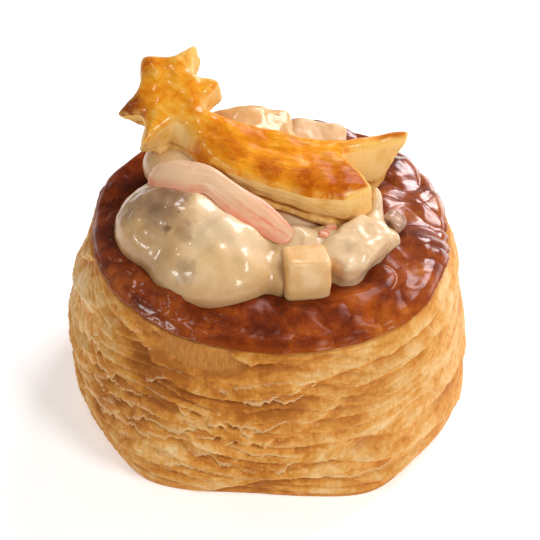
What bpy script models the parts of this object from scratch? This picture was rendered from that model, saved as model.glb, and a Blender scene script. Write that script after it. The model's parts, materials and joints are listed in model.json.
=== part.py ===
"""Vol-au-vent: a drum of puff pastry with a well of creamy ragout, under a shooting star of pastry.

Units are metres and +Z is up. The origin is the centre of the flat base. The side that faces -Y is
the front. The case rose unevenly, so its rim stands higher on the -X side.
"""

import math

import bmesh
import bpy
import numpy as np
from mathutils import Matrix, Vector, noise

MM = 0.001
GAP = 0.4 * MM  # what touching pieces keep clear of each other
SMOOTH_BELOW = math.radians(40)  # edges flatter than this are shaded smooth

# Pastry case: radii of the wall at heights above the base, from the foot to the rim
WALL_HEIGHTS = np.array([0.0, 5.5, 13.0, 22.0, 32.0, 40.3]) * MM
WALL_RADII = np.array([40.4, 41.9, 42.3, 41.7, 39.9, 38.1]) * MM
RIM_HEIGHT = WALL_HEIGHTS[-1]
RIM_LEAN = 2.3 / 38.0
BASE_FLAT_RADIUS = 37.5 * MM
CASE_SEGMENTS = 76
WALL_ROWS = 27
# Where the foot and the rim bulge or draw in: the direction, how far, and how wide, in degrees
FOOT_BULGES = (
    (232, 3.0 * MM, 14), (264, -1.5 * MM, 14), (299, 2.8 * MM, 13), (335, 1.9 * MM, 30), (5, 0.6 * MM, 20),
)
RIM_BULGES = ((60, 2.2 * MM, 30), (172, -1.1 * MM, 28), (265, -1.2 * MM, 40))
FOOT_REACHES = 0.45  # share of the height that the foot's bulges fade over, and the rim's
RIM_REACHES = 0.5
BELLY_SHIFT = -0.2 * MM  # the wall's middle stands further out on the -X side
WAVER = 0.9 * MM  # how unevenly the drum is round
WAVER_DETAIL = 1.4

# The leaves of the wall, as thick bundles and thinner ones: height of each, how far it flares out,
# how many of its heights it wanders up and down round the case, and where its noise starts
LEAF_BUNDLES = ((7.4 * MM, 1.5 * MM, 1.5, 3.7), (3.3 * MM, 0.8 * MM, 2.0, 11.2))
LEAF_SWAY_HEIGHT = 15.0 * MM
FOOT_FADE = 0.08
RIM_FADE = 0.06

# The glazed top: how far it crowns, and its bubbles and dents
RIM_CROWN = 1.1 * MM
CROWN_ENDS = 0.87  # share of the way from the rim's edge to the well
TOP_RINGS = (0.04, 0.14, 0.3, 0.5, 0.7, 0.88)
BLISTER_DEPTH = 2.0 * MM
BLISTER_SIZE = 9.0 * MM
WELL_RADIUS = 19.0 * MM
WELL_LIP = 4.5 * MM
WELL_TAPER = 1.0 * MM
WELL_FLOOR = 15.0 * MM

# Ragout: each lobe is a centre, three half-sizes and a turn about the vertical, in millimetres
# and degrees
RAGOUT_LOBES = {
    "plug": ((0, 0, 28), (22, 22, 14), 0),
    "mound": ((-2, 3, 40), (25, 23, 9), 0),
    "scoop_left": ((-18, -5, 45), (14.5, 14, 9), 20),
    "scoop_front": ((-12.0, -16.2, 42.0), (12.6, 10.6, 7.0), -12),
    "scoop_middle": ((-4.5, -11, 45), (9, 9, 6.5), 0),
    "under_star": ((-18, 13, 46), (10, 8, 6), -30),
    "under_tail": ((3, 6, 44), (17, 11, 5.5), -5),
    "under_slices": ((3, 20, 41), (15, 9, 5), -5),
    "shelf_right": ((19, -3, 39.5), (8, 8, 5), 30),
    "drip_right": ((25, -3.6, 40.0), (3.6, 4.2, 2.8), 0),
}
RAGOUT_VOXEL = 1.5 * MM
RAGOUT_FACES = 2100

# The strip laid over the heap, in millimetres: points on its middle line, and its widths there
STRIP_PATH = (
    (-26, 7.2, 49.2), (-20, 5.6, 51.4), (-14, 2.0, 52.2), (-8, -3.0, 51.8), (-2.5, -8.0, 50.0),
    (3.6, -10.6, 47.6),
)
STRIP_WIDTHS = (4.8, 6.6, 7.2, 7.2, 6.2, 4.0)
STRIP_THICKNESS = 3.4 * MM
STRIP_FACES_UP = (0.15, -0.45, 1.0)
STRIP_RINGS = 15
STRIP_SIDES = 10

# Cut pieces that show in the ragout: centre, half-sizes, turns about X, Y and Z, and rounding of
# their edges, in millimetres and degrees
CHUNKS = {
    "potato_cube": ((7.3, -17.0, 43.3), (4.6, 4.4, 4.4), (-12, 0, 3), 1.0),
    "chicken_piece_right": ((18.4, -9.0, 41.2), (9.0, 5.4, 4.5), (4, -6, 46), 2.2),
    "mushroom_stub": ((26.6, 1.8, 40.7), (2.3, 2.6, 3.0), (0, 25, -20), 1.3),
    "chicken_piece_back": ((-3.6, 22.0, 47.2), (8.4, 5.6, 5.2), (8, 5, 8), 2.2),
    "surimi_slice_back": ((10.0, 22.6, 45.2), (6.0, 5.0, 3.2), (12, 4, -6), 0.9),
}
LUMPY_ABOVE = 2.0  # pieces with a larger rounding than this are torn, so their sides are uneven
LUMP_DEPTH = 1.4 * MM
LUMP_SIZE = 4.5 * MM

# Shooting star: the points and notches of its star as angle from the tail and reach, in degrees
# and millimetres, then the half-widths of its tail on the near and the far side
STAR_CORNERS = (
    (44, 12.6), (80, 6.7), (97, 13.1), (121, 8.6), (154, 10.9), (199, 6.3),
    (234, 12.5), (254, 6.0), (275, 13.0),
)
TAIL_STATIONS = np.array([6.8, 14.0, 24.0, 34.0, 43.2]) * MM
TAIL_NEAR_EDGE = np.array([4.8, 7.7, 9.0, 10.1, 9.8]) * MM
TAIL_FAR_EDGE = np.array([2.4, 3.4, 5.9, 5.8, 7.8]) * MM
TAIL_OUTLINE_POINTS = 9
NEAR_PRONG = (6.0 * MM, -8.2 * MM)
FAR_PRONG = (9.2 * MM, 8.9 * MM)
NOTCH = (0.0, -1.0 * MM)
# Its thickness at stations from the star's centre, where the pastry rose more
THICKNESS_STATIONS = np.array([0.0, 24.0, 36.0, 48.0]) * MM
THICKNESSES = np.array([7.2, 6.8, 8.8, 12.0]) * MM
GARNISH_DOME = 1.3 * MM
DOME_WIDTH = 5.0 * MM
GARNISH_VOXEL = 1.0 * MM
GARNISH_FACES = 2100
# Its spine: distances from the star's centre, points on the middle of its top, and the
# directions across it, towards the back
SPINE_STATIONS = np.array([-16.0, 0.0, 10.0, 20.0, 30.0, 40.0, 54.0]) * MM
SPINE_POINTS = np.array([
    (-35.2, 27.8, 63.9), (-21.7, 19.3, 61.5), (-13.3, 13.6, 59.2), (-4.6, 9.2, 56.6),
    (5.2, 7.4, 54.4), (15.2, 7.6, 52.6), (28.6, 11.0, 50.4),
]) * MM
ACROSS = np.array([
    (0.53, 0.75, 0.40), (0.53, 0.75, 0.40), (0.44, 0.84, 0.31), (0.16, 0.96, 0.22),
    (-0.04, 0.98, 0.18), (0.06, 0.99, 0.10), (0.40, 0.91, 0.04),
])

# Finishes: colour and roughness
FINISHES = {
    "baked_pastry": ((0.62, 0.34, 0.10), 0.6),
    "egg_glaze": ((0.72, 0.30, 0.03), 0.25),
    "cream_sauce": ((0.75, 0.58, 0.36), 0.25),
    "surimi": ((0.86, 0.40, 0.27), 0.3),
    "potato": ((0.78, 0.55, 0.26), 0.35),
    "mushroom": ((0.60, 0.46, 0.36), 0.35),
}
FINISH_OF = {
    "pastry_case": "baked_pastry",
    "shooting_star": "egg_glaze",
    "ragout": "cream_sauce",
    "surimi_strip": "surimi",
    "potato_cube": "potato",
    "chicken_piece_right": "cream_sauce",
    "mushroom_stub": "mushroom",
    "chicken_piece_back": "cream_sauce",
    "surimi_slice_back": "surimi",
}


def clear_scene():
    for obj in list(bpy.data.objects):
        bpy.data.objects.remove(obj)


def curve_through(at, stations, values):
    """A smooth curve through values at stations, read at each place in at."""
    at = np.clip(np.atleast_1d(at), stations[0], stations[-1])
    values = np.asarray(values, float).reshape(len(stations), -1)
    slopes = np.gradient(values, stations, axis=0)
    i = np.clip(np.searchsorted(stations, at, side="right") - 1, 0, len(stations) - 2)
    span = (stations[i + 1] - stations[i])[:, None]
    t = (at[:, None] - stations[i][:, None]) / span
    return (
        (2 * t**3 - 3 * t**2 + 1) * values[i]
        + (t**3 - 2 * t**2 + t) * span * slopes[i]
        + (3 * t**2 - 2 * t**3) * values[i + 1]
        + (t**3 - t**2) * span * slopes[i + 1]
    )


def make_object(name, mesh):
    obj = bpy.data.objects.new(name, mesh)
    bpy.context.scene.collection.objects.link(obj)
    return obj


def finish(name):
    """A food finish: the Principled shader with a colour and a gloss."""
    color, roughness = FINISHES[name]
    material = bpy.data.materials.new(name)
    material.use_nodes = True
    shader = material.node_tree.nodes["Principled BSDF"]
    shader.inputs["Base Color"].default_value = (*color, 1.0)
    shader.inputs["Roughness"].default_value = roughness
    shader.inputs["Metallic"].default_value = 0.0
    return material


def with_modifiers_applied(obj):
    """Swaps the object's mesh for its evaluated one and removes its modifiers."""
    graph = bpy.context.evaluated_depsgraph_get()
    mesh = bpy.data.meshes.new_from_object(obj.evaluated_get(graph), depsgraph=graph)
    obj.modifiers.clear()
    obj.data = mesh
    return obj


def swollen_copy(obj):
    """A cutter: the object grown by the gap along its normals."""
    cutter = make_object(obj.name + "_cutter", obj.data.copy())
    normals = [vertex.normal.copy() for vertex in cutter.data.vertices]
    for vertex, normal in zip(cutter.data.vertices, normals):
        vertex.co += normal * GAP
    return cutter


def cut_clear_of(obj, neighbours):
    """Cuts each neighbour, grown by the gap, out of the object."""
    cutters = [swollen_copy(neighbour) for neighbour in neighbours]
    for cutter in cutters:
        boolean = obj.modifiers.new("cut", "BOOLEAN")
        boolean.operation = "DIFFERENCE"
        boolean.solver = "EXACT"
        boolean.object = cutter
    with_modifiers_applied(obj)
    for cutter in cutters:
        bpy.data.objects.remove(cutter)


# The pastry case


def rim_height(x):
    """The case rose unevenly, so its rim leans down towards +X."""
    return RIM_HEIGHT - RIM_LEAN * x


def leaf_relief(angle, height):
    """How far the leaves of the wall flare out: each most near its lower edge, least at its top."""
    around = Vector((math.cos(angle), math.sin(angle), 0.0))
    relief = 0.0
    for pitch, depth, sway, start in LEAF_BUNDLES:
        drift = noise.noise(around * 1.5 + Vector((0, 0, height / LEAF_SWAY_HEIGHT + start)))
        place = height / pitch + sway * drift
        leaf = math.floor(place)
        within = place - leaf
        reach = 0.6 + 0.7 * noise.noise(around * 3.0 + Vector((0, 0, 7.31 * leaf + start)))
        edge = min(1.0, within / 0.25)
        relief += depth * reach * (1.5 * edge * (1 - within) ** 1.3 - 0.4)
    return relief


def swell_towards(angle, bulges):
    """The sum of round bulges, each centred on a direction."""
    total = 0.0
    for direction, reach, width in bulges:
        turn = (math.degrees(angle) - direction + 180) % 360 - 180
        total += reach * math.exp(-((turn / width) ** 2))
    return total


def side_bulge(angle, share):
    """How far the drum departs from round, at a share of the way from the base to the rim."""
    around = Vector((math.cos(angle), math.sin(angle), share * 1.5))
    bulge = WAVER * noise.noise(around * WAVER_DETAIL)
    bulge += BELLY_SHIFT * math.cos(angle) * math.sin(math.pi * share)
    bulge += swell_towards(angle, FOOT_BULGES) * max(0.0, 1 - share / FOOT_REACHES)
    bulge += swell_towards(angle, RIM_BULGES) * max(0.0, 1 - (1 - share) / RIM_REACHES)
    return bulge


def wall_ring(angles, share):
    """The points of the wall round the case, at a share of the way from the base to the rim."""
    height = share * RIM_HEIGHT
    round_radius = float(curve_through(height, WALL_HEIGHTS, WALL_RADII)[0, 0])
    fade = min(1.0, share / FOOT_FADE, (1 - share) / RIM_FADE)
    points = []
    for angle in angles:
        radius = round_radius + side_bulge(angle, share) + fade * leaf_relief(angle, height)
        x = radius * math.cos(angle)
        y = radius * math.sin(angle)
        points.append((x, y, height * rim_height(x) / RIM_HEIGHT))
    return points


def blisters(x, y):
    """Bubbles and dents in the glazed top."""
    return BLISTER_DEPTH * noise.noise(Vector((x, y, 0.0)) / BLISTER_SIZE)


def top_ring(angles, across):
    """The points of the glazed top, at a share of the way from the rim's edge in to the well."""
    crown = RIM_CROWN * math.sin(math.pi * min(1.0, across / CROWN_ENDS)) ** 0.7
    points = []
    for angle in angles:
        rim_radius = WALL_RADII[-1] + side_bulge(angle, 1.0)
        radius = rim_radius - across * (rim_radius - WELL_RADIUS)
        x = radius * math.cos(angle)
        y = radius * math.sin(angle)
        points.append((x, y, rim_height(x) + crown + blisters(x, y) * min(1.0, 5 * across)))
    return points


def skin_rings(name, rings, bottom, top):
    """Joins rings of points, each to the next, and closes both ends on a middle point."""
    bm = bmesh.new()
    loops = [[bm.verts.new(point) for point in ring] for ring in rings]
    for low, high in zip(loops, loops[1:]):
        for i in range(len(low)):
            j = (i + 1) % len(low)
            bm.faces.new((low[i], low[j], high[j], high[i]))
    for loop, middle, order in ((loops[0], bottom, -1), (loops[-1], top, 1)):
        centre = bm.verts.new(middle)
        for i in range(len(loop)):
            j = (i + 1) % len(loop)
            bm.faces.new((loop[i], loop[j], centre)[::order])
    bmesh.ops.triangulate(bm, faces=bm.faces)
    mesh = bpy.data.meshes.new(name)
    bm.to_mesh(mesh)
    bm.free()
    return mesh


def level_ring(angles, radius, height):
    return [(radius * math.cos(angle), radius * math.sin(angle), height) for angle in angles]


def pastry_case():
    """The drum of laminated pastry: flat base, leafy wall, glazed top and the well in it."""
    angles = np.linspace(0, 2 * math.pi, CASE_SEGMENTS, endpoint=False)
    wall_shares = (np.arange(WALL_ROWS) + 0.6) / WALL_ROWS
    rings = [level_ring(angles, BASE_FLAT_RADIUS, 0.0)]
    rings += [wall_ring(angles, share) for share in wall_shares]
    rings += [top_ring(angles, across) for across in TOP_RINGS]
    rings.append(level_ring(angles, WELL_RADIUS, RIM_HEIGHT - WELL_LIP))
    rings.append(level_ring(angles, WELL_RADIUS - WELL_TAPER, WELL_FLOOR))
    mesh = skin_rings("pastry_case", rings, (0, 0, 0), (0, 0, WELL_FLOOR))
    return make_object("pastry_case", mesh)


# The ragout and what shows in it


def ellipsoid(bm, centre, half_sizes, turn):
    placed = (
        Matrix.Translation(Vector(centre) * MM)
        @ Matrix.Rotation(math.radians(turn), 4, "Z")
        @ Matrix.Diagonal((*(Vector(half_sizes) * MM), 1.0))
    )
    bmesh.ops.create_icosphere(bm, subdivisions=4, radius=1.0, matrix=placed)


def ragout():
    """The creamy heap: lobes run together, smoothed where they meet, and thinned to few faces."""
    bm = bmesh.new()
    for centre, half_sizes, turn in RAGOUT_LOBES.values():
        ellipsoid(bm, centre, half_sizes, turn)
    mesh = bpy.data.meshes.new("ragout")
    bm.to_mesh(mesh)
    bm.free()
    heap = make_object("ragout", mesh)
    remesh = heap.modifiers.new("join", "REMESH")
    remesh.mode = "VOXEL"
    remesh.voxel_size = RAGOUT_VOXEL
    smooth = heap.modifiers.new("run_together", "SMOOTH")
    smooth.factor = 0.6
    smooth.iterations = 4
    with_modifiers_applied(heap)
    return thinned(heap, RAGOUT_FACES)


def thinned(obj, faces):
    """Fewer triangles, with the shape kept."""
    triangles = sum(len(polygon.vertices) - 2 for polygon in obj.data.polygons)
    decimate = obj.modifiers.new("thin", "DECIMATE")
    decimate.ratio = min(1.0, faces / triangles)
    return with_modifiers_applied(obj)


def chunk(name, centre, half_sizes, turns, rounding):
    """A cut piece: a block with rounded edges, its sides uneven where it is torn."""
    bm = bmesh.new()
    size = Matrix.Diagonal((*(Vector(half_sizes) * 2 * MM), 1.0))
    bmesh.ops.create_cube(bm, size=1.0, matrix=size)
    bmesh.ops.bevel(
        bm, geom=bm.edges[:], offset=rounding * MM, segments=2, profile=0.5, affect="EDGES"
    )
    if rounding > LUMPY_ABOVE:
        bmesh.ops.subdivide_edges(bm, edges=bm.edges[:], cuts=1, use_grid_fill=True, smooth=0.4)
        for vertex in bm.verts:
            lump = noise.noise(vertex.co / LUMP_SIZE + Vector(centre))
            vertex.co += vertex.co.normalized() * lump * LUMP_DEPTH
    placed = Matrix.Translation(Vector(centre) * MM)
    for turn, axis in zip(turns[::-1], "ZYX"):
        placed = placed @ Matrix.Rotation(math.radians(turn), 4, axis)
    bmesh.ops.transform(bm, matrix=placed, verts=bm.verts)
    bmesh.ops.triangulate(bm, faces=bm.faces)
    mesh = bpy.data.meshes.new(name)
    bm.to_mesh(mesh)
    bm.free()
    return make_object(name, mesh)


def surimi_strip():
    """The long strip over the heap: a flattened tube swept along its path, with blunt ends."""
    stations = np.linspace(0, 1, len(STRIP_PATH))
    along = np.linspace(0, 1, STRIP_RINGS)
    centres = curve_through(along, stations, STRIP_PATH) * MM
    widths = curve_through(along, stations, np.array(STRIP_WIDTHS)[:, None])[:, 0] * MM
    tangents = np.gradient(centres, axis=0)
    rings = []
    for centre, width, tangent in zip(centres, widths, tangents):
        forward = Vector(tangent).normalized()
        side = forward.cross(Vector(STRIP_FACES_UP)).normalized()
        up = side.cross(forward)
        ring = []
        for step in range(STRIP_SIDES):
            a = 2 * math.pi * step / STRIP_SIDES
            offset = side * (math.cos(a) * width / 2) + up * (math.sin(a) * STRIP_THICKNESS / 2)
            ring.append(Vector(centre) + offset)
        rings.append(ring)
    mesh = skin_rings("surimi_strip", rings, centres[0], centres[-1])
    return outward(make_object("surimi_strip", mesh))


def outward(obj):
    """Turns every face to point out."""
    bm = bmesh.new()
    bm.from_mesh(obj.data)
    bmesh.ops.recalc_face_normals(bm, faces=bm.faces)
    bm.to_mesh(obj.data)
    bm.free()
    return obj


# The shooting star


def garnish_outline():
    """The cutter's outline in the flat dough: the star's corners, then the tail and its notch."""
    corners = [
        (reach * MM * math.cos(math.radians(angle)), reach * MM * math.sin(math.radians(angle)))
        for angle, reach in STAR_CORNERS
    ]
    along = np.linspace(TAIL_STATIONS[0], TAIL_STATIONS[-1], TAIL_OUTLINE_POINTS)
    near_widths = curve_through(along, TAIL_STATIONS, TAIL_NEAR_EDGE)[:, 0]
    far_widths = curve_through(along, TAIL_STATIONS, TAIL_FAR_EDGE)[:, 0]
    near_edge = list(zip(along, -near_widths))
    far_edge = list(zip(along, far_widths))[::-1]
    end = TAIL_STATIONS[-1]
    tips = [(end + further, across) for further, across in (NEAR_PRONG, NOTCH, FAR_PRONG)]
    return corners + near_edge + tips + far_edge


def edge_distance(points, outline):
    """How far each flat point is from the outline."""
    nearest = np.full(len(points), np.inf)
    corners = np.array(outline)
    for start, end in zip(corners, np.roll(corners, -1, axis=0)):
        run = end - start
        share = np.clip(((points - start) @ run) / (run @ run), 0, 1)
        away = np.linalg.norm(points - start - share[:, None] * run, axis=1)
        nearest = np.minimum(nearest, away)
    return nearest


def drape(flat):
    """Bends flat points (along, across, up) over the heap, along the garnish's spine."""
    along = flat[:, 0]
    spine = curve_through(along, SPINE_STATIONS, SPINE_POINTS)
    ahead = curve_through(along + 0.5 * MM, SPINE_STATIONS, SPINE_POINTS)
    behind = curve_through(along - 0.5 * MM, SPINE_STATIONS, SPINE_POINTS)
    forward = ahead - behind
    forward /= np.linalg.norm(forward, axis=1)[:, None]
    across = curve_through(along, SPINE_STATIONS, ACROSS)
    across /= np.linalg.norm(across, axis=1)[:, None]
    up = np.cross(forward, across)
    up /= np.linalg.norm(up, axis=1)[:, None]
    return spine + flat[:, 1:2] * across + flat[:, 2:3] * up


def shooting_star():
    """The garnish: cut flat, puffed so that its top domes, then bent over the heap."""
    outline = garnish_outline()
    depth = THICKNESSES[0]
    bm = bmesh.new()
    floor = [bm.verts.new((a, b, -depth)) for a, b in outline]
    base = bm.faces.new(floor)
    lifted = bmesh.ops.extrude_face_region(bm, geom=[base])
    top = [item for item in lifted["geom"] if isinstance(item, bmesh.types.BMVert)]
    bmesh.ops.translate(bm, verts=top, vec=(0, 0, depth))
    bmesh.ops.recalc_face_normals(bm, faces=bm.faces)
    mesh = bpy.data.meshes.new("shooting_star")
    bm.to_mesh(mesh)
    bm.free()
    star = make_object("shooting_star", mesh)
    remesh = star.modifiers.new("grid", "REMESH")
    remesh.mode = "VOXEL"
    remesh.voxel_size = GARNISH_VOXEL
    smooth = star.modifiers.new("bake", "SMOOTH")
    smooth.factor = 0.5
    smooth.iterations = 2
    with_modifiers_applied(star)
    flat = np.array([vertex.co for vertex in star.data.vertices])
    inward = edge_distance(flat[:, :2], outline)
    raised = np.clip(flat[:, 2] / depth + 1, 0, 1)
    risen = curve_through(flat[:, 0], THICKNESS_STATIONS, THICKNESSES)[:, 0]
    flat[:, 2] += (raised - 1) * (risen - depth)
    flat[:, 2] += raised * GARNISH_DOME * np.sqrt(np.clip(inward / DOME_WIDTH, 0, 1))
    for vertex, place in zip(star.data.vertices, drape(flat)):
        vertex.co = place
    return thinned(star, GARNISH_FACES)


def main():
    clear_scene()
    heap = ragout()
    strip = surimi_strip()
    chunks = [chunk(name, *values) for name, values in CHUNKS.items()]
    whole = [pastry_case(), shooting_star()]
    for piece in [strip, *chunks, heap]:
        cut_clear_of(piece, whole)
        whole.append(piece)

    finishes = {name: finish(name) for name in FINISHES}
    for piece in whole:
        piece.data.materials.append(finishes[FINISH_OF[piece.name]])
        piece.data.shade_smooth()
        piece.data.set_sharp_from_angle(angle=SMOOTH_BELOW)


main()
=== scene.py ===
# %% [markdown]
# # A vol-au-vent with a shooting star
#
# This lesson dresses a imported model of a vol-au-vent: a drum of puff pastry, its well heaped with a
# creamy ragout, under a shooting star cut from pastry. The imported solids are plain. Each is replaced
# here by a finer piece of the same form, with a finish made of shader nodes.

import json
import math

import bmesh
import bpy
import numpy as np
from mathutils import Matrix, Vector, noise

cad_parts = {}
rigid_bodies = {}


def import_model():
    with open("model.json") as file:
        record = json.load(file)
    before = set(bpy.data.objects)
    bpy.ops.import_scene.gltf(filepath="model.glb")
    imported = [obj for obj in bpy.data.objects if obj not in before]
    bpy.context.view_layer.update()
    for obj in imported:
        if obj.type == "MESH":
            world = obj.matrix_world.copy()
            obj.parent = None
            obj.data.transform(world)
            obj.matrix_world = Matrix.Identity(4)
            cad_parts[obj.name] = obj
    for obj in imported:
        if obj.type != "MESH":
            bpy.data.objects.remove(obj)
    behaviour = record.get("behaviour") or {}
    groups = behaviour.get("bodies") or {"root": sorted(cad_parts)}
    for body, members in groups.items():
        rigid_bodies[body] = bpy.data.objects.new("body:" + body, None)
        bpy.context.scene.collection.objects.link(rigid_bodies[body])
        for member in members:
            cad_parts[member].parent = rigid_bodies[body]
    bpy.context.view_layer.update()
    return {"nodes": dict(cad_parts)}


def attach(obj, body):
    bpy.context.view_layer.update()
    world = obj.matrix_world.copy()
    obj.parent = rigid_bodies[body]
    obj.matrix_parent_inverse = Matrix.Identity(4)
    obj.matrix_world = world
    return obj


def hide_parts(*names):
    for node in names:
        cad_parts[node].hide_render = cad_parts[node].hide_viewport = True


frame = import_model()
print("frame nodes:", sorted(frame["nodes"]))

# %% [markdown]
# ## Camera, table and light
#
# A photograph of food on a white sweep: the camera looks down at 41 degrees from 60 cm away, through
# a long lens. The lens follows from how much a pixel covers at the aim point. A long lens keeps
# verticals nearly parallel, so the drum tapers only a little towards its foot.

# %% Camera
MM = 0.001
ELEVATION = math.radians(41)
CAMERA_DISTANCE = 0.600
AIM = Vector((0, 0, 0.0288))
SENSOR_WIDTH = 36.0
PICTURE_WIDTH = 540 * 0.215 * MM  # what the picture's width covers at the aim point


def add_object(name, data):
    made = bpy.data.objects.new(name, data)
    bpy.context.scene.collection.objects.link(made)
    return made


def face_towards(obj, target):
    """Turns an object so that its -Z axis points at the target, as cameras and lights look."""
    obj.rotation_euler = (Vector(target) - obj.location).to_track_quat("-Z", "Y").to_euler()


camera = add_object("camera", bpy.data.cameras.new("camera"))
camera.location = AIM + CAMERA_DISTANCE * Vector((0, -math.cos(ELEVATION), math.sin(ELEVATION)))
face_towards(camera, AIM)
camera.data.sensor_width = SENSOR_WIDTH
camera.data.lens = SENSOR_WIDTH * CAMERA_DISTANCE / PICTURE_WIDTH
camera.data.clip_start = 0.01
bpy.context.scene.camera = camera
bpy.context.scene.view_settings.view_transform = "Standard"
print("lens:", round(camera.data.lens, 1), "mm")

# %% [markdown]
# Soft light comes from all round, as a light tent gives it. A large lamp stands to the right and
# behind, and its sheen lies on the glazed top. A second one lights the front from the right, and a
# weak one fills the left side, which stays a little darker. A very small lamp overhead draws the
# sharp sparkles on sauce and glaze.

# %% Lamps and surroundings
LAMPS = {
    # name: place, size in metres, power in watts, colour
    "window": ((0.32, 0.49, 0.46), 0.42, 4.4, (1.0, 0.94, 0.98)),
    "front": ((0.42, -0.38, 0.44), 0.26, 2.7, (1.0, 0.97, 0.92)),
    "fill": ((-0.50, -0.24, 0.36), 0.14, 1.0, (1.0, 0.98, 0.95)),
    "sparkle": ((-0.20, 0.12, 0.60), 0.022, 0.20, (1.0, 0.97, 0.92)),
}
TENT_LIGHT = 0.16


def light_scene():
    for name, (place, size, power, color) in LAMPS.items():
        data = bpy.data.lights.new(name, "AREA")
        data.shape = "DISK"
        data.size = size
        data.energy = power
        data.color = color
        lamp = add_object(name, data)
        lamp.location = place
        face_towards(lamp, AIM)
    world = bpy.data.worlds.new("tent")
    world.use_nodes = True
    world.node_tree.nodes["Background"].inputs["Color"].default_value = (1, 1, 1, 1)
    world.node_tree.nodes["Background"].inputs["Strength"].default_value = TENT_LIGHT
    bpy.context.scene.world = world


light_scene()
print("lamps:", ", ".join(LAMPS))

# %% [markdown]
# ## Shader maths as Python expressions
#
# Shader trees are easier to read as sums. `Wire` wraps a socket and overloads the operators that the
# finishes below use, so that `1 - mask` or `a * 0.5 + b` adds Math nodes. Every other node comes from
# one method, `node`, which sets the node's settings first and then its sockets.

# %% The Wire class
class Wire:
    """A socket of a shader tree that Python's arithmetic works on."""

    def __init__(self, tree, socket=None):
        self.tree = tree
        self.socket = socket

    def node(self, kind, inputs=None, out=0, stops=None, **settings):
        """Adds a node: its settings, its ramp's stops, then the values or links of its sockets."""
        made = self.tree.nodes.new(kind)
        for name, value in settings.items():
            setattr(made, name, value)
        for index, (position, color) in enumerate(stops or ()):
            elements = made.color_ramp.elements
            element = elements[index] if index < 2 else elements.new(position)
            element.position = position
            element.color = colored(color)
        for key, value in (inputs or {}).items():
            if isinstance(value, Wire):
                self.tree.links.new(value.socket, made.inputs[key])
            else:
                made.inputs[key].default_value = value
        return Wire(self.tree, made.outputs[out])

    def math(self, operation, *others):
        return self.node("ShaderNodeMath", dict(enumerate((self, *others))), operation=operation)

    def __add__(self, other):
        return self.math("ADD", other)

    __radd__ = __add__

    def __mul__(self, other):
        return self.math("MULTIPLY", other)

    __rmul__ = __mul__

    def __sub__(self, other):
        return self.math("SUBTRACT", other)

    def __rsub__(self, other):
        return self.node("ShaderNodeMath", {0: other, 1: self}, operation="SUBTRACT")

    def at_most(self, limit):
        return self.math("MINIMUM", limit)

    def between(self, low, high):
        """0 below low and 1 above high, with a smooth rise between."""
        inputs = {"Value": self, "From Min": low, "From Max": high}
        return self.node("ShaderNodeMapRange", inputs, interpolation_type="SMOOTHSTEP")

    def ramp(self, *stops):
        return self.node("ShaderNodeValToRGB", {0: self}, stops=stops)

    def mix(self, under, over):
        """The colour under, with the colour over laid on it as strongly as this wire says."""
        inputs = {0: self, 6: colored(under), 7: colored(over)}
        return self.node("ShaderNodeMix", inputs, 2, data_type="RGBA")

    def part(self, axis):
        """One of a vector's three numbers: X, Y or Z."""
        return self.node("ShaderNodeSeparateXYZ", {0: self}, axis)

    def scaled(self, *factors):
        """A vector times three factors."""
        return self.node("ShaderNodeVectorMath", {0: self, 1: factors}, operation="MULTIPLY")

    def plus(self, other):
        """A vector plus another, given as a wire or as three numbers."""
        return self.node("ShaderNodeVectorMath", {0: self, 1: other}, operation="ADD")

    def distance_to(self, x, y, z):
        centred = self.plus((-x, -y, -z))
        return centred.node("ShaderNodeVectorMath", {0: centred}, "Value", operation="LENGTH")

    def noise(self, scale, detail=2.0, rough=0.5, warp=0.0, out=0):
        """Noise at this place: a number from 0 to 1, or with out=1 a colour to use as a vector."""
        inputs = {"Vector": self, "Scale": scale, "Detail": detail, "Roughness": rough, "Distortion": warp}
        return self.node("ShaderNodeTexNoise", inputs, out)

    def bump(self, distance, strength):
        inputs = {"Height": self, "Distance": distance, "Strength": strength}
        return self.node("ShaderNodeBump", inputs)


def colored(value):
    """A colour socket takes four numbers, and the colours here are written as three."""
    return value if isinstance(value, Wire) else (*value, 1.0)


def new_finish(name, **fixed):
    """A material with a Principled shader, its fixed values set, and wires to build on."""
    material = bpy.data.materials.new(name)
    material.use_nodes = True
    tree = material.node_tree
    shader = tree.nodes["Principled BSDF"]
    for socket, value in fixed.items():
        shader.inputs[socket.replace("_", " ")].default_value = value
    return material, Wire(tree), shader


def plug(wires, shader, **sockets):
    """Links wires to the shader's sockets by name."""
    for socket, wire in sockets.items():
        wires.tree.links.new(wire.socket, shader.inputs[socket.replace("_", " ")])


def place_in_mm(wires):
    """Object coordinates in millimetres, so that noise scales are per millimetre."""
    return wires.node("ShaderNodeTexCoord", out="Object").scaled(1000, 1000, 1000)


def attribute(wires, name, out="Fac"):
    return wires.node("ShaderNodeAttribute", out=out, attribute_name=name)


print("shader sums ready:", Wire.__name__)

# %% [markdown]
# ## Helpers for shapes
#
# All pieces below are worked out from named sizes with numpy, ring by ring or through a voxel
# remesh. These helpers read smooth curves through a few stations, give Perlin noise at many points,
# and turn rings of points into a closed mesh.

# %% Shape helpers
def curve_through(at, stations, values):
    """A smooth curve through values at stations, read at each place in at."""
    at = np.clip(np.atleast_1d(at), stations[0], stations[-1])
    values = np.asarray(values, float).reshape(len(stations), -1)
    slopes = np.gradient(values, stations, axis=0)
    i = np.clip(np.searchsorted(stations, at, side="right") - 1, 0, len(stations) - 2)
    span = (stations[i + 1] - stations[i])[:, None]
    t = (at[:, None] - stations[i][:, None]) / span
    return (
        (2 * t**3 - 3 * t**2 + 1) * values[i]
        + (t**3 - 2 * t**2 + t) * span * slopes[i]
        + (3 * t**2 - 2 * t**3) * values[i + 1]
        + (t**3 - t**2) * span * slopes[i + 1]
    )


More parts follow.
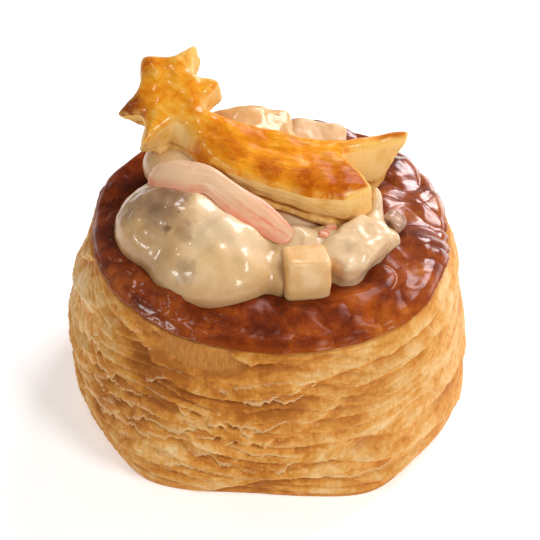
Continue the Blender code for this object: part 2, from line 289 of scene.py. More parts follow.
def noise_at(x, y, z):
    """Perlin noise at many points, from about -1 to 1."""
    x, y, z = np.broadcast_arrays(x, y, z)
    points = np.stack([x, y, z], -1).reshape(-1, 3).tolist()
    return np.array([noise.noise(point) for point in points]).reshape(x.shape)


def smoothstep(values, low, high):
    share = np.clip((values - low) / (high - low), 0, 1)
    return share * share * (3 - 2 * share)


def closed_rings(name, rings, bottom, top):
    """A closed mesh through rings of points, from the bottom's middle point to the top's."""
    rows, columns, _ = rings.shape
    points = np.concatenate([rings.reshape(-1, 3), [bottom, top]])
    index = np.arange(rows * columns).reshape(rows, columns)
    following = np.roll(index, -1, axis=1)
    quads = np.stack([index[:-1], following[:-1], following[1:], index[1:]], -1).reshape(-1, 4)
    low_fan = [(b, a, rows * columns) for a, b in zip(index[0], following[0])]
    high_fan = [(a, b, rows * columns + 1) for a, b in zip(index[-1], following[-1])]
    mesh = bpy.data.meshes.new(name)
    mesh.from_pydata(points.tolist(), [], quads.tolist() + low_fan + high_fan)
    return mesh


def store(mesh, name, values):
    """Keeps a number or a vector for each point of the mesh, for the finish to read."""
    values = np.asarray(values, float)
    kind, key = ("FLOAT", "value") if values.ndim == 1 else ("FLOAT_VECTOR", "vector")
    mesh.attributes.new(name, kind, "POINT").data.foreach_set(key, values.ravel())


def positions(mesh):
    flat = np.empty(len(mesh.vertices) * 3)
    mesh.vertices.foreach_get("co", flat)
    return flat.reshape(-1, 3)


def normals(mesh):
    flat = np.empty(len(mesh.vertices) * 3)
    mesh.vertex_normals.foreach_get("vector", flat)
    return flat.reshape(-1, 3)


def place_points(mesh, points):
    mesh.vertices.foreach_set("co", points.ravel())
    mesh.update()


def evaluated_mesh(obj):
    """The object's mesh with its modifiers applied."""
    graph = bpy.context.evaluated_depsgraph_get()
    return bpy.data.meshes.new_from_object(obj.evaluated_get(graph), depsgraph=graph)


def remeshed(name, mesh, voxel, smoothing, factor=0.6):
    """A closed even grid over the mesh's outer form, then smoothed."""
    body = add_object(name, mesh)
    grid = body.modifiers.new("grid", "REMESH")
    grid.mode = "VOXEL"
    grid.voxel_size = voxel
    soften = body.modifiers.new("soften", "SMOOTH")
    soften.factor = factor
    soften.iterations = smoothing
    body.data = evaluated_mesh(body)
    body.modifiers.clear()
    return body


def dressed(obj, node, slot, material):
    """Gives the piece its finish and lets it stand for its CAD node."""
    obj.data.materials.clear()
    obj.data.materials.append(material)
    obj.data.shade_smooth()
    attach(obj, "root")
    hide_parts(node)
    print(obj.name, len(obj.data.polygons), "faces, for", node)
    return obj


print("shape helpers ready, down to", dressed.__name__)

# %% [markdown]
# ## The wall of the case
#
# Puff pastry is hundreds of thin leaves of dough with butter between. Baking lifts them apart, and
# they flare at the cut side. The wall is a drum of rings. Its radius follows a few stations from foot
# to rim, and leaves of several thicknesses stand out from it: each is widest just over its lower edge
# and draws in above. Noise makes them wander up and down, so that they run together and part again.

# %% Wall sizes
WALL_HEIGHTS = np.array([0.0, 5.5, 13.0, 22.0, 32.0, 40.3]) * MM
WALL_RADII = np.array([40.4, 41.9, 42.3, 41.7, 39.9, 38.1]) * MM
RIM_HEIGHT = WALL_HEIGHTS[-1]
RIM_LEAN = 2.3 / 38.0  # how steeply the rim falls towards +X
BASE_FLAT_RADIUS = 37.5 * MM
WALL_ENDS = 0.955  # the share of the rim's height at which the glazed sheet takes over
CAP_DROP = 12.0 * MM
# Where foot and rim bulge or draw in: direction in degrees, how far, spread in degrees
FOOT_BULGES = (
    (232, 3.0 * MM, 14), (264, -1.5 * MM, 14), (299, 2.8 * MM, 13), (335, 1.9 * MM, 30), (5, 0.6 * MM, 20),
)
RIM_BULGES = ((60, 2.2 * MM, 30), (172, -1.1 * MM, 28), (265, -1.2 * MM, 40))
FOOT_REACHES = 0.45
RIM_REACHES = 0.5
BELLY_SHIFT = -0.2 * MM
WAVER = 0.9 * MM
WAVER_DETAIL = 1.4
# Leaves: height of each, how far it flares, how many heights it wanders, where its noise starts,
# and how much its edge is frayed, as a share of its height
THICK_LEAVES = ((8.2 * MM, 1.9 * MM, 1.5, 3.7, 0.06),)
MIDDLE_LEAVES = ((3.6 * MM, 1.1 * MM, 2.2, 11.2, 0.14),)
THIN_LEAVES = ((1.6 * MM, 0.24 * MM, 2.6, 23.1, 0.20),)
LEAF_SWAY_HEIGHT = 15.0 * MM
LEAF_EDGE = 0.14
FOOT_FADE = 0.05
RIM_FADE = 0.06
# The smooth brown hollow under the rim: direction and spread in degrees, height and spread, depth
HOLLOW = (247, 17, 35.0 * MM, 3.6 * MM, 0.7 * MM)
SMOOTH_SIDE = 350  # the direction in which the leaves are pressed flattest
WALL_SEGMENTS = 860
WALL_ROWS = 112

# %% Wall functions
def rim_height(x):
    """The case rose unevenly, so its rim leans down towards +X."""
    return RIM_HEIGHT - RIM_LEAN * x


def swell_towards(angles, bulges):
    """The sum of round bulges, each centred on a direction in degrees."""
    total = np.zeros_like(angles)
    for direction, reach, width in bulges:
        turn = (np.degrees(angles) - direction + 180) % 360 - 180
        total = total + reach * np.exp(-((turn / width) ** 2))
    return total


def side_bulge(angles, share):
    """How far the drum departs from round, at a share of the way from the base to the rim."""
    bulge = WAVER * noise_at(
        np.cos(angles) * WAVER_DETAIL, np.sin(angles) * WAVER_DETAIL, share * 1.5 * WAVER_DETAIL
    )
    bulge = bulge + BELLY_SHIFT * np.cos(angles) * np.sin(math.pi * share)
    bulge = bulge + swell_towards(angles, FOOT_BULGES) * np.maximum(0, 1 - share / FOOT_REACHES)
    return bulge + swell_towards(angles, RIM_BULGES) * np.maximum(0, 1 - (1 - share) / RIM_REACHES)


def leaf_relief(angles, heights, bundles):
    """How far the leaves flare out, and where in its stack each point lies."""
    cosine, sine = np.cos(angles), np.sin(angles)
    relief = 0.0
    for pitch, depth, sway, start, fray in bundles:
        lift = heights / LEAF_SWAY_HEIGHT + start
        drift = noise_at(cosine * 1.5, sine * 1.5, lift)
        place = heights / pitch + sway * drift
        frayed = place + fray * noise_at(cosine * 24, sine * 24, heights / (4 * MM))
        frayed = frayed + 0.6 * fray * noise_at(cosine * 70, sine * 70, heights / (2 * MM))
        leaf = np.floor(frayed)
        within = frayed - leaf
        reach = 0.6 + 0.7 * noise_at(cosine * 3, sine * 3, 7.31 * leaf + start)
        edge = np.minimum(1, within / LEAF_EDGE)
        relief = relief + depth * reach * (1.5 * edge * (1 - within) ** 1.3 - 0.4)
    return relief, place


def hollow_share(angles, heights):
    """1 in the middle of the smooth hollow under the rim, with an uneven fade to 0."""
    direction, spread, height, rise, _ = HOLLOW
    turn = ((np.degrees(angles) - direction + 180) % 360 - 180) / spread
    up = (heights - height) / rise
    ragged = 0.25 * noise_at(np.cos(angles) * 12, np.sin(angles) * 12, heights / (2.5 * MM))
    return 1 - smoothstep(np.sqrt(turn**2 + up**2) + ragged, 0.75, 1.05)


def wall_radius(angles, heights):
    """The drum's radius before its leaves, at directions and heights that share one shape."""
    share = heights / RIM_HEIGHT
    base = np.interp(share, np.linspace(0, 1, 200), curve_through(
        np.linspace(0, 1, 200) * RIM_HEIGHT, WALL_HEIGHTS, WALL_RADII)[:, 0])
    return base + side_bulge(angles, share)


def ring_points(radius, angles, heights):
    """Points on the drum, lifted as the rim leans."""
    x = radius * np.cos(angles)
    y = radius * np.sin(angles)
    z = heights * rim_height(x) / RIM_HEIGHT
    return np.stack(np.broadcast_arrays(x, y, z), -1)


def pastry_wall():
    """The rings of the wall, with where each point lies in the leaves."""
    angles = np.linspace(0, 2 * math.pi, WALL_SEGMENTS, endpoint=False)[None, :]
    share = ((np.arange(WALL_ROWS) + 0.4) / WALL_ROWS * WALL_ENDS)[:, None]
    angles, share = np.broadcast_arrays(angles, share)
    heights = share * RIM_HEIGHT
    fade = np.clip(np.minimum(share / FOOT_FADE, (WALL_ENDS - share) / RIM_FADE), 0, 1)
    thick, thick_place = leaf_relief(angles, heights, THICK_LEAVES)
    middle, middle_place = leaf_relief(angles, heights, MIDDLE_LEAVES)
    thin, _ = leaf_relief(angles, heights, THIN_LEAVES)
    flat_side = smoothstep(np.cos(angles - math.radians(SMOOTH_SIDE)), 0.1, 0.95)
    hollow = hollow_share(angles, heights)
    relief = thick * (1 - 0.35 * flat_side) + (middle + thin) * (1 - 0.6 * flat_side)
    relief = fade * relief * (1 - 0.85 * hollow) - HOLLOW[-1] * hollow
    rings = ring_points(wall_radius(angles, heights) + relief, angles, heights)
    foot = np.stack([np.cos(angles[0]), np.sin(angles[0]), 0 * angles[0]], -1) * BASE_FLAT_RADIUS
    cap = (0, 0, RIM_HEIGHT - CAP_DROP)
    mesh = closed_rings("case_wall", np.concatenate([foot[None], rings]), (0, 0, 0), cap)
    leafing = np.stack([thick_place, middle_place, share], -1)
    keep = {"leaf_place": leafing, "relief": relief / MM, "hollow": hollow, "flat_side": flat_side}
    for name, values in keep.items():
        values = np.concatenate([values[:1], values])
        flat = values.reshape(-1, *values.shape[2:])
        store(mesh, name, np.concatenate([flat, flat[:1] * 0, flat[-1:] * 0]))
    return add_object("case_wall", mesh)


wall = pastry_wall()
print("wall:", len(wall.data.polygons), "faces")

# %% [markdown]
# The crust's colour comes from streaks that follow the leaves and patches where it browned more. It is
# darker where a point lies deep: painted shade, strongest in the folds under each leaf's edge. The
# jutting leaf edges are pale, partly thin dough that browned less and partly a painted highlight.
# The finish reads the leaves' place and relief from the mesh, so its streaks wander as they do. The
# hollow under the rim has upright fibres in place of leaves, and two small specks are burnt.

# %% Crust finish
# The first colour is painted shade, laid in the folds between the leaves.
PAINTED_FOLD_SHADE = (0.33, 0.095, 0.010)
CRUST_BROWN = (0.42, 0.134, 0.013)
CRUST_ORANGE = (0.60, 0.228, 0.029)
CRUST_GOLD = (0.70, 0.328, 0.063)
CRUST_PALE = (0.78, 0.465, 0.170)
CRUST_EDGE = (0.86, 0.600, 0.300)
CRUST_FOOT = (0.45, 0.190, 0.035)
HOLLOW_BROWN = (0.42, 0.155, 0.022)
HOLLOW_ORANGE = (0.62, 0.270, 0.055)
BURNT_SPECK = (0.10, 0.030, 0.008)
# Where the wall is darker or lighter, mostly from browning; the first two, just under the rim at the
# front, are partly browning and partly painted shade under the rim: x, y, z, radius in millimetres, and how
# much
BROWNING_AND_RIM_SHADE = (
    (-23, -35, 31, 14, 0.30), (-2, -42, 29, 14, 0.19), (-31, -28, 17, 15, 0.18), (-41, -9, 30, 15, -0.10),
    (0, -42, 4, 14, 0.09), (40, -14, 30, 14, -0.10),
)
DARK_SPECKS = ((37.9, -18.6, 5.6, 1.0), (36.2, -21.8, 15.4, 0.5))  # x, y, z, radius in millimetres


def browning_and_rim_shade(place):
    """How much darker the crust is at a place, from the patches above."""
    total = 0.0
    for x, y, z, radius, strength in BROWNING_AND_RIM_SHADE:
        total = (1 - place.distance_to(x, y, z).between(radius * 0.25, radius)) * strength + total
    return total


def crust_noises(place):
    """Broad clouds, blotches that lie level, upright fibres and a fine fray."""
    clouds = place.scaled(1, 1, 1.5).noise(0.14, 3.0, 0.55, 0.5)
    blotches = place.scaled(1, 1, 1.7).noise(0.30, 3.0, 0.6, 0.8)
    fibres = place.scaled(1.6, 1.6, 0.30).noise(1.0, 3.0, 0.6)
    fray = place.noise(1.5, 4.0, 0.7)
    return clouds, blotches, fibres, fray


def specks_and_foot(color, place, fray, height_share):
    """Lays the burnt specks over the crust's colour, and the browner line at its foot."""
    for x, y, z, radius in DARK_SPECKS:
        away = place.distance_to(x, y, z) + fray * 0.8 - 0.4
        color = ((1 - away.between(radius * 0.6, radius)) * 0.85).mix(color, BURNT_SPECK)
    foot = 1 - height_share.between(0.0, 0.04)
    return (foot * 0.6).mix(color, CRUST_FOOT)


def crust_finish():
    material, wires, shader = new_finish("baked_crust", Specular_IOR_Level=0.22)
    place = place_in_mm(wires)
    leafing = attribute(wires, "leaf_place", "Vector")
    relief = attribute(wires, "relief")
    flat_side = attribute(wires, "flat_side")
    clouds, blotches, fibres, fray = crust_noises(place)
    fine = place.noise(3.2, 2.0, 0.6)
    # How far up its leaf a point lies, from 0 at the leaf's edge to 1 at the next fold
    within = (leafing.part("Y") + fray * 0.30).math("FRACT")
    thick_within = (leafing.part("X") + fray * 0.10).math("FRACT")
    hairline = (leafing.part("Y") * 3.0 + blotches * 1.2 + fray * 0.4).math("FRACT")
    calm = 1 - flat_side * 0.65
    patches = (blotches - 0.5) * (1 - flat_side * 0.45)
    # relief * 0.13 is painted shade, darker where the crust lies deep. flat_side * 0.05 lightens the smooth
    # side, towards the lamps at the right: partly its own colour, partly painted light.
    tone = clouds * 0.70 + patches * 0.75 + fibres * 0.28 + fine * 0.12 + relief * 0.13
    tone = tone - 0.095 - browning_and_rim_shade(place) + flat_side * 0.05
    color = tone.ramp(
        (0.22, CRUST_BROWN), (0.40, CRUST_ORANGE), (0.52, CRUST_GOLD), (0.66, CRUST_PALE), (0.84, CRUST_EDGE)
    )
    # Painted shade in the folds and deep recesses, under each leaf's edge.
    fold = within.between(0.55, 1.0) * (1 - relief.between(-0.6, 0.5)) * calm
    deep = thick_within.between(0.72, 1.0) * (1 - relief.between(-0.9, 0.2)) * calm
    color = (fold * 0.85).mix(color, PAINTED_FOLD_SHADE)
    color = (deep * 0.65).mix(color, PAINTED_FOLD_SHADE)
    # Pale jutting leaf edges: partly thin dough that browned less, partly a painted highlight.
    edge = (1 - within.between(0.0, 0.30)) * relief.between(-0.1, 0.8) * fray.between(0.30, 0.55)
    color = (edge * 0.70).mix(color, CRUST_EDGE)
    line = (1 - hairline.between(0.0, 0.22)) * blotches.between(0.42, 0.60)
    color = (line * 0.30 * calm).mix(color, CRUST_BROWN)
    bare = attribute(wires, "hollow") * (0.75 + fibres * 0.3)
    fibred = (fibres * 0.9 + fine * 0.3 - 0.1).ramp((0.3, HOLLOW_BROWN), (0.7, HOLLOW_ORANGE))
    color = bare.at_most(0.92).mix(color, fibred)
    color = specks_and_foot(color, place, fray, leafing.part("Z"))
    steps = (1 - within) * 0.55 + (1 - hairline) * 0.22
    height = steps * calm + fibres * 0.22 + fray * 0.28 + fine * 0.10
    plug(wires, shader, Base_Color=color, Roughness=0.60 - tone * 0.12, Normal=height.bump(0.60 * MM, 0.75))
    return material


crust = crust_finish()
dressed(wall, "pastry_case", "baked_pastry", crust)

# %% [markdown]
# ## The glazed top
#
# The top was brushed with egg, so it browned to mahogany and shines. Steam lifted it into blisters,
# with folds that run out to the rim, deepest at the right, and fine puckers at the left front. It is
# a ring-shaped sheet with a thickness: a ragged pale edge that hangs over the wall further in some
# directions than in others, the blistered top, and the well's throat, which the ragout hides.

# %% Glazed top sizes
RIM_CROWN = 1.1 * MM
CROWN_ENDS = 0.87
BLISTER_DEPTH = 2.0 * MM
BLISTER_SIZE = 9.0 * MM
WELL_RADIUS = 19.0 * MM
WELL_LIP = 4.5 * MM
UNDERSIDE_DROP = 10.0 * MM
TOP_SEGMENTS = 680
TOP_RINGS = 66
WRINKLES = ((6.5 * MM, 0.34 * MM), (2.3 * MM, 0.05 * MM))  # size and depth
# Folds that run out to the rim: how many to a turn, how deep, and where they end inwards
FOLDS = ((32, 0.62 * MM, 0.45), (13, 1.10 * MM, 0.95))
# Where the sheet's edge stands out past the wall: direction in degrees, how far, spread in degrees
OVERHANGS = ((46, 1.5 * MM, 15), (22, 0.7 * MM, 8), (70, 0.6 * MM, 10), (157, 1.0 * MM, 12))
PUCKERED_SIDE = 210  # the direction in degrees in which it is finely puckered
TOP_PUCKERS = (1.9 * MM, 0.34 * MM)  # size and depth
SHEEN_SIDE = 25  # the direction in degrees in which the top is folded most
SHOULDER = 1.1 * MM  # how far the top rounds down to its edge
# The sheet's edge: distance out from the rim's radius and height over the rim, from below
EDGE_PROFILE = ((-3.0, -3.80), (-0.7, -1.40), (0.16, -0.66), (0.34, -0.42), (0.26, -0.18), (0.02, -0.03))

# %% Glazed top
def ridges(x, y, size):
    """Sharp-crested wrinkles with rounded troughs, from -1 to 1."""
    warp = noise_at(x / (2.2 * size), y / (2.2 * size), 5.0)
    return 1 - np.abs(noise_at(x / size + 0.8 * warp, y / size - 0.6 * warp, 9.0)) * 2


def radial_folds(angles, across):
    """Rounded folds with sharp creases between them, deepest at the rim and on the right."""
    side = smoothstep(np.cos(angles - math.radians(SHEEN_SIDE)), -0.6, 0.6)
    total = 0.0
    for count, depth, ends in FOLDS:
        wander = 2.2 * noise_at(np.cos(angles) * 2, np.sin(angles) * 2, across * 1.8 + count)
        turn = count * angles / 2 / math.pi + wander
        fold = np.abs(np.sin(turn * math.pi)) ** 0.65 - 0.7
        patchy = 0.7 + 0.9 * noise_at(np.cos(angles) * 5, np.sin(angles) * 5, 3.0 + count)
        total = total + depth * fold * patchy * np.clip(1 - across / ends, 0, 1) ** 0.7
    return total * (0.35 + 0.65 * side)


def top_surface(angles, across):
    """Points of the glazed top, at shares of the way from the rim's edge in to the well."""
    crown = RIM_CROWN * np.sin(math.pi * np.minimum(1, across / CROWN_ENDS)) ** 0.7
    crown = crown - SHOULDER * np.clip(1 - across / 0.10, 0, 1) ** 2
    rim_radius = WALL_RADII[-1] + side_bulge(angles, 1.0) + swell_towards(angles, OVERHANGS)
    folds = radial_folds(angles, across)
    radius = rim_radius - across * (rim_radius - WELL_RADIUS) + 0.8 * folds * np.clip(1 - 5 * across, 0, 1)
    x = radius * np.cos(angles)
    y = radius * np.sin(angles)
    lift = np.minimum(1, 5 * across)
    z = rim_height(x) + crown + lift * BLISTER_DEPTH * noise_at(x / BLISTER_SIZE, y / BLISTER_SIZE, 0.0)
    side = 0.4 + 0.6 * smoothstep(np.cos(angles - math.radians(SHEEN_SIDE)), -0.6, 0.6)
    for size, depth in WRINKLES:
        z = z + lift * side * depth * (ridges(x, y, size) - 0.55)
    puckered = smoothstep(np.cos(angles - math.radians(PUCKERED_SIDE)), 0.35, 0.9)
    puckered = puckered * smoothstep(-across, -0.7, -0.2)
    size, depth = TOP_PUCKERS
    z = z + lift * puckered * depth * (ridges(x, y, size) - 0.55)
    z = z + folds * (0.3 + 0.7 * np.minimum(1, 12 * across))
    return np.stack([x, y, z], -1)


def sheet_edge(surface, angles):
    """Rings of the sheet's ragged edge, from its underside out and up to the top's first ring."""
    ragged = noise_at(np.cos(angles) * 9, np.sin(angles) * 9, 2.0)
    ragged = ragged + 0.6 * noise_at(np.cos(angles) * 38, np.sin(angles) * 38, 4.0)
    rings = []
    for out, up in EDGE_PROFILE:
        outer = 1.0 if out > 0 else 0.3
        shift = (out + 0.30 * outer * ragged) * MM
        lower = (up * (1 + 0.25 * ragged)) * MM
        rings.append(surface + np.stack([shift * np.cos(angles), shift * np.sin(angles), lower], -1))
    return np.array(rings)


def glazed_top():
    angles = np.linspace(0, 2 * math.pi, TOP_SEGMENTS, endpoint=False)[None, :]
    across = (np.linspace(0.0, 1.0, TOP_RINGS) ** 1.15)[:, None]
    surface = top_surface(angles, across)
    edge = sheet_edge(surface[0], angles[0])
    throat = surface[-1] - (0, 0, WELL_LIP)
    floor_z = RIM_HEIGHT - UNDERSIDE_DROP
    rings = np.concatenate([edge, surface[1:], throat[None]])
    mesh = closed_rings("glazed_top", rings, (0, 0, floor_z), (0, 0, floor_z + 0.2 * MM))
    inward = np.concatenate([np.linspace(-0.12, 0.0, len(edge)), across[1:, 0], [1.0]])
    inward = np.repeat(inward, TOP_SEGMENTS)
    store(mesh, "inward", np.concatenate([inward, [-0.2, 1.0]]))
    return add_object("glazed_top", mesh)


top = glazed_top()
print("top:", len(top.data.polygons), "faces")

# %% [markdown]
# Egg glaze over well-browned crust is nearly black-brown where it pooled and blistered, and
# orange-brown towards the right: partly where it is thin, partly painted light from the lamps there.
# Towards the well it is a little darker: partly pooled glaze, partly painted shade by the ragout. A
# clear coat gives the sheen, and it is thickest at the right and at the left front. The sheet's cut
# edge has no glaze, so it stays pale and dull.

# %% Glaze finish
GLAZE_DARK = (0.050, 0.008, 0.003)
GLAZE_RED = (0.110, 0.016, 0.003)
GLAZE_BROWN = (0.205, 0.031, 0.004)
GLAZE_ORANGE = (0.370, 0.074, 0.006)
GLAZE_GOLD = (0.540, 0.170, 0.025)
CUT_EDGE = (0.800, 0.460, 0.150)


def glaze_finish():
    material, wires, shader = new_finish("egg_glaze", Coat_Roughness=0.22, Specular_IOR_Level=0.04)
    place = place_in_mm(wires)
    inward = attribute(wires, "inward")
    side = place.part("X")
    depth = place.part("Y")
    clouds = place.noise(0.12, 3.0, 0.5, 0.4)
    mottle = place.noise(0.45, 4.0, 0.6, 0.4)
    grain = place.noise(2.0, 3.0, 0.6)
    wrinkle = place.noise(0.9, 3.0, 0.6, 0.8)
    creases = place.noise(0.55, 2.0, 0.5, 1.4)
    # Towards the well the glaze is a little darker: partly pooled glaze, partly painted shade by the ragout.
    rim_lighter_than_well = 1 - inward.between(0.0, 0.55)
    # Paler towards the right: partly thinner glaze, partly painted light from the lamps at the right.
    paler = side.between(-4.0, 34.0) * 0.20 - side.between(-40.0, -4.0) * 0.02
    tone = clouds * 1.05 + mottle * 0.50 + grain * 0.16 + paler - depth * 0.0010 - 0.40 + rim_lighter_than_well * 0.05
    color = tone.ramp(
        (0.16, GLAZE_DARK), (0.36, GLAZE_RED), (0.52, GLAZE_BROWN), (0.72, GLAZE_ORANGE), (0.95, GLAZE_GOLD)
    )
    rim_glow = 1 - (inward + mottle * 0.06 - 0.03).between(-0.01, 0.035)
    color = (rim_glow * 0.45).mix(color, GLAZE_ORANGE)
    bare = 1 - (inward + mottle * 0.05 - 0.025).between(-0.085, -0.040)
    color = bare.mix(color, CUT_EDGE)
    left_front = 1 - (side * 0.9 + depth * 0.5).between(-40.0, -22.0)
    right_back = (side * 0.8 + depth * 0.8).between(-2.0, 32.0)
    thick_glaze = right_back * (0.6 + mottle.between(0.3, 0.6) * 0.6)
    coat = 0.08 + clouds.between(0.40, 0.65) * 0.16 + thick_glaze * 1.3 + left_front * 0.7
    creased = (creases - 0.5).math("ABSOLUTE")
    height = wrinkle * 0.5 + mottle * 0.4 + grain * (left_front * 0.7 + 0.22) + creased * 1.2
    plug(
        wires, shader, Base_Color=color, Roughness=0.52 + bare * 0.2 + grain * 0.10,
        Coat_Weight=(1 - bare) * coat, Normal=height.bump(0.45 * MM, 0.55),
    )
    return material


dressed(top, "pastry_case", "glazed_pastry", glaze_finish())

# %% [markdown]
# ## Loose leaves on the wall
#
# Where the dough tore, thin leaves lie on the wall with ragged lower edges that stand off it. A few
# templates are bent round the drum's radius. Geometry Nodes scatter them over the wall, stand them
# upright, facing out, each of its own size and tilt, ruffle them with noise, and press them on the
# drum's form. The tree's inputs are named, and its seed is fixed. Its instances are realised, because
# the export drops instances.

# %% Leaf templates
DRUM_RADIUS = 42.0 * MM
LEAF_WIDTH = 27.0 * MM
LEAF_DROP = 4.2 * MM
LEAF_SWAY = 1.1 * MM
LEAF_COLUMNS = 60
LEAF_LEVELS = 7
LEAF_KINDS = 7
LEAF_LIFT = (-0.9 * MM, 1.05 * MM)  # how far off the drum its upper and its torn edge lie
LEAF_THICKNESS = 0.16 * MM


def sheet_faces(index):
    """Faces of a thin closed sheet whose points lie on a grid, with its inner side after its outer."""
    outer = np.stack([index[:-1, :-1], index[1:, :-1], index[1:, 1:], index[:-1, 1:]], -1).reshape(-1, 4)
    loop = np.concatenate([index[0, :-1], index[:-1, -1], index[-1, :0:-1], index[:0:-1, 0]])
    ahead = np.roll(loop, -1)
    rim = np.stack([loop, ahead, ahead + index.size, loop + index.size], -1)
    return np.concatenate([outer, outer[:, ::-1] + index.size, rim]).tolist()


def leaf_template(number):
    """A thin sheet, bent as the drum is: its upper edge tucked in, its lower edge frayed."""
    across = np.linspace(-1, 1, LEAF_COLUMNS)[None, :]
    down = np.linspace(0, 1, LEAF_LEVELS)[:, None]
    body = np.clip(1 - np.abs(across) ** 2.4, 0, 1) ** 0.7
    torn = 1 + 0.40 * noise_at(across * 2.6, number * 3.7, 0.0)
    torn = torn + 0.22 * noise_at(across * 9, number * 5.1, 1.0)
    torn = torn + 0.20 * noise_at(across * 27, number * 1.3, 4.0)
    drop = LEAF_DROP * body * torn
    turn = across * LEAF_WIDTH / 2 / DRUM_RADIUS
    x = DRUM_RADIUS * np.sin(turn) + 0 * down
    y = LEAF_SWAY * noise_at(across * 1.4, number * 2.9, 6.0) - down * drop
    z = DRUM_RADIUS * np.cos(turn) - DRUM_RADIUS + 0 * down
    sheet = np.stack([x, y, z], -1).reshape(-1, 3)
    curl = 0.7 + 0.6 * noise_at(across * 3, number * 4.1, 2.0)
    lift = LEAF_LIFT[0] + (LEAF_LIFT[1] - LEAF_LIFT[0]) * down**0.6 * curl * body**0.4
    inner_lift = lift - LEAF_THICKNESS * (1.2 - down)
    index = np.arange(LEAF_COLUMNS * LEAF_LEVELS).reshape(LEAF_LEVELS, LEAF_COLUMNS)
    mesh = bpy.data.meshes.new("leaf_%d" % number)
    mesh.from_pydata(np.concatenate([sheet, sheet]).tolist(), [], sheet_faces(index))
    store(mesh, "lift", np.concatenate([lift.ravel(), inner_lift.ravel()]))
    edge = np.broadcast_to(down, (LEAF_LEVELS, LEAF_COLUMNS)).ravel()
    store(mesh, "leaf_edge", np.concatenate([edge, edge]))
    return bpy.data.objects.new("leaf_%d" % number, mesh)


def leaf_collection():
    templates = bpy.data.collections.new("leaf_templates")
    bpy.context.scene.collection.children.link(templates)
    for number in range(LEAF_KINDS):
        templates.objects.link(leaf_template(number))
    return templates


def drum_form():
    """The drum without its leaves, which the loose sheets are pressed on."""
    angles = np.linspace(0, 2 * math.pi, 180, endpoint=False)[None, :]
    heights = np.linspace(0, 1, 40)[:, None] * RIM_HEIGHT
    angles, heights = np.broadcast_arrays(angles, heights)
    rings = ring_points(wall_radius(angles, heights), angles, heights)
    return add_object("drum_form", closed_rings("drum_form", rings, (0, 0, 0), (0, 0, RIM_HEIGHT)))


leaf_templates = leaf_collection()
drum = drum_form()

# %% [markdown]
# A small builder keeps the Geometry Nodes trees readable: it adds a node with its settings and
# sockets, as `Wire` does for shaders, and gives back one of its outputs, for the next node to use.

# %% A builder for Geometry Nodes
class NodeBuilder:
    """Builds a Geometry Nodes tree with named inputs."""

    def __init__(self, name, **inputs):
        self.tree = bpy.data.node_groups.new(name, "GeometryNodeTree")
        self.sockets = {}
        for label, kind in {"Geometry": "Geometry", **inputs}.items():
            made = self.tree.interface.new_socket(label, in_out="INPUT", socket_type="NodeSocket" + kind)
            self.sockets[label] = made.identifier
        self.tree.interface.new_socket("Geometry", in_out="OUTPUT", socket_type="NodeSocketGeometry")
        self.given = self.tree.nodes.new("NodeGroupInput").outputs

    def add(self, kind, inputs=None, out=0, **settings):
        """Adds a node and gives back one of its outputs, asked for by number or name."""
        made = self.tree.nodes.new(kind)
        for name, value in settings.items():
            setattr(made, name, value)
        for key, value in (inputs or {}).items():
            if isinstance(value, bpy.types.NodeSocket):
                self.tree.links.new(value, made.inputs[key])
            else:
                made.inputs[key].default_value = value
        return made.outputs[out] if made.outputs else None

    def math(self, operation, first, second):
        return self.add("ShaderNodeMath", {0: first, 1: second}, operation=operation)

    def vector(self, operation, first, second=(0, 0, 0), out=0):
        return self.add("ShaderNodeVectorMath", {0: first, 1: second}, out, operation=operation)

    def times(self, vector, factor):
        return self.add("ShaderNodeVectorMath", {0: vector, "Scale": factor}, operation="SCALE")

    def compare(self, first, operation, second):
        return self.add("FunctionNodeCompare", {0: first, 1: second}, operation=operation)

    def both(self, first, second):
        return self.add("FunctionNodeBooleanMath", {0: first, 1: second}, operation="AND")

    def random(self, low, high):
        """Three random numbers between two corners, for each point."""
        inputs = {0: low, 1: high, "Seed": self.given["Seed"]}
        return self.add("FunctionNodeRandomValue", inputs, data_type="FLOAT_VECTOR")

    def number_on_mesh(self, name):
        return self.add("GeometryNodeInputNamedAttribute", {"Name": name}, data_type="FLOAT")

    def scatter(self, where, density):
        """Random points on the faces of the tree's own geometry."""
        inputs = {
            "Mesh": self.given["Geometry"], "Selection": where, "Density": density, "Seed": self.given["Seed"]
        }
        return self.add("GeometryNodeDistributePointsOnFaces", inputs, "Points", distribute_method="RANDOM")

    def finish(self, geometry):
        """Sets the finish, because realised copies don't bring one, and ends the tree."""
        inputs = {"Geometry": geometry, "Material": self.given["Finish"]}
        self.add("NodeGroupOutput", {0: self.add("GeometryNodeSetMaterial", inputs)})
        return self

    def made_on(self, obj, name, **values):
        """Runs the tree on an object with these values and returns the result as a plain mesh."""
        modifier = obj.modifiers.new(name, "NODES")
        modifier.node_group = self.tree
        for label, value in values.items():
            modifier[self.sockets[label]] = value
        mesh = evaluated_mesh(obj)
        obj.modifiers.remove(modifier)
        mesh.name = name
        return add_object(name, mesh)


print("builder ready:", NodeBuilder.__name__)

# %% Scatter the leaves
LEAF_DENSITY = 8500.0  # leaves to a square metre of wall, before the smooth side is thinned
LEAF_SEED = 11
LEAF_LOWEST = 6.0 * MM
LEAF_HIGHEST = 33.5 * MM
LEAF_INNERMOST = 35.0 * MM  # no leaf goes on the wall's hidden cap, under the glazed top
LEAF_TILT = 0.13  # in radians, either way
LEAF_SCALES = ((0.40, 0.5, 1.0), (1.3, 1.35, 1.0))  # the least and the most
LEAF_RUFFLE = 0.9 * MM
RUFFLE_SCALE = 180.0  # waves to a metre
SIDE_THINNING = 1.5  # how strongly the leaves thin out towards the smooth side


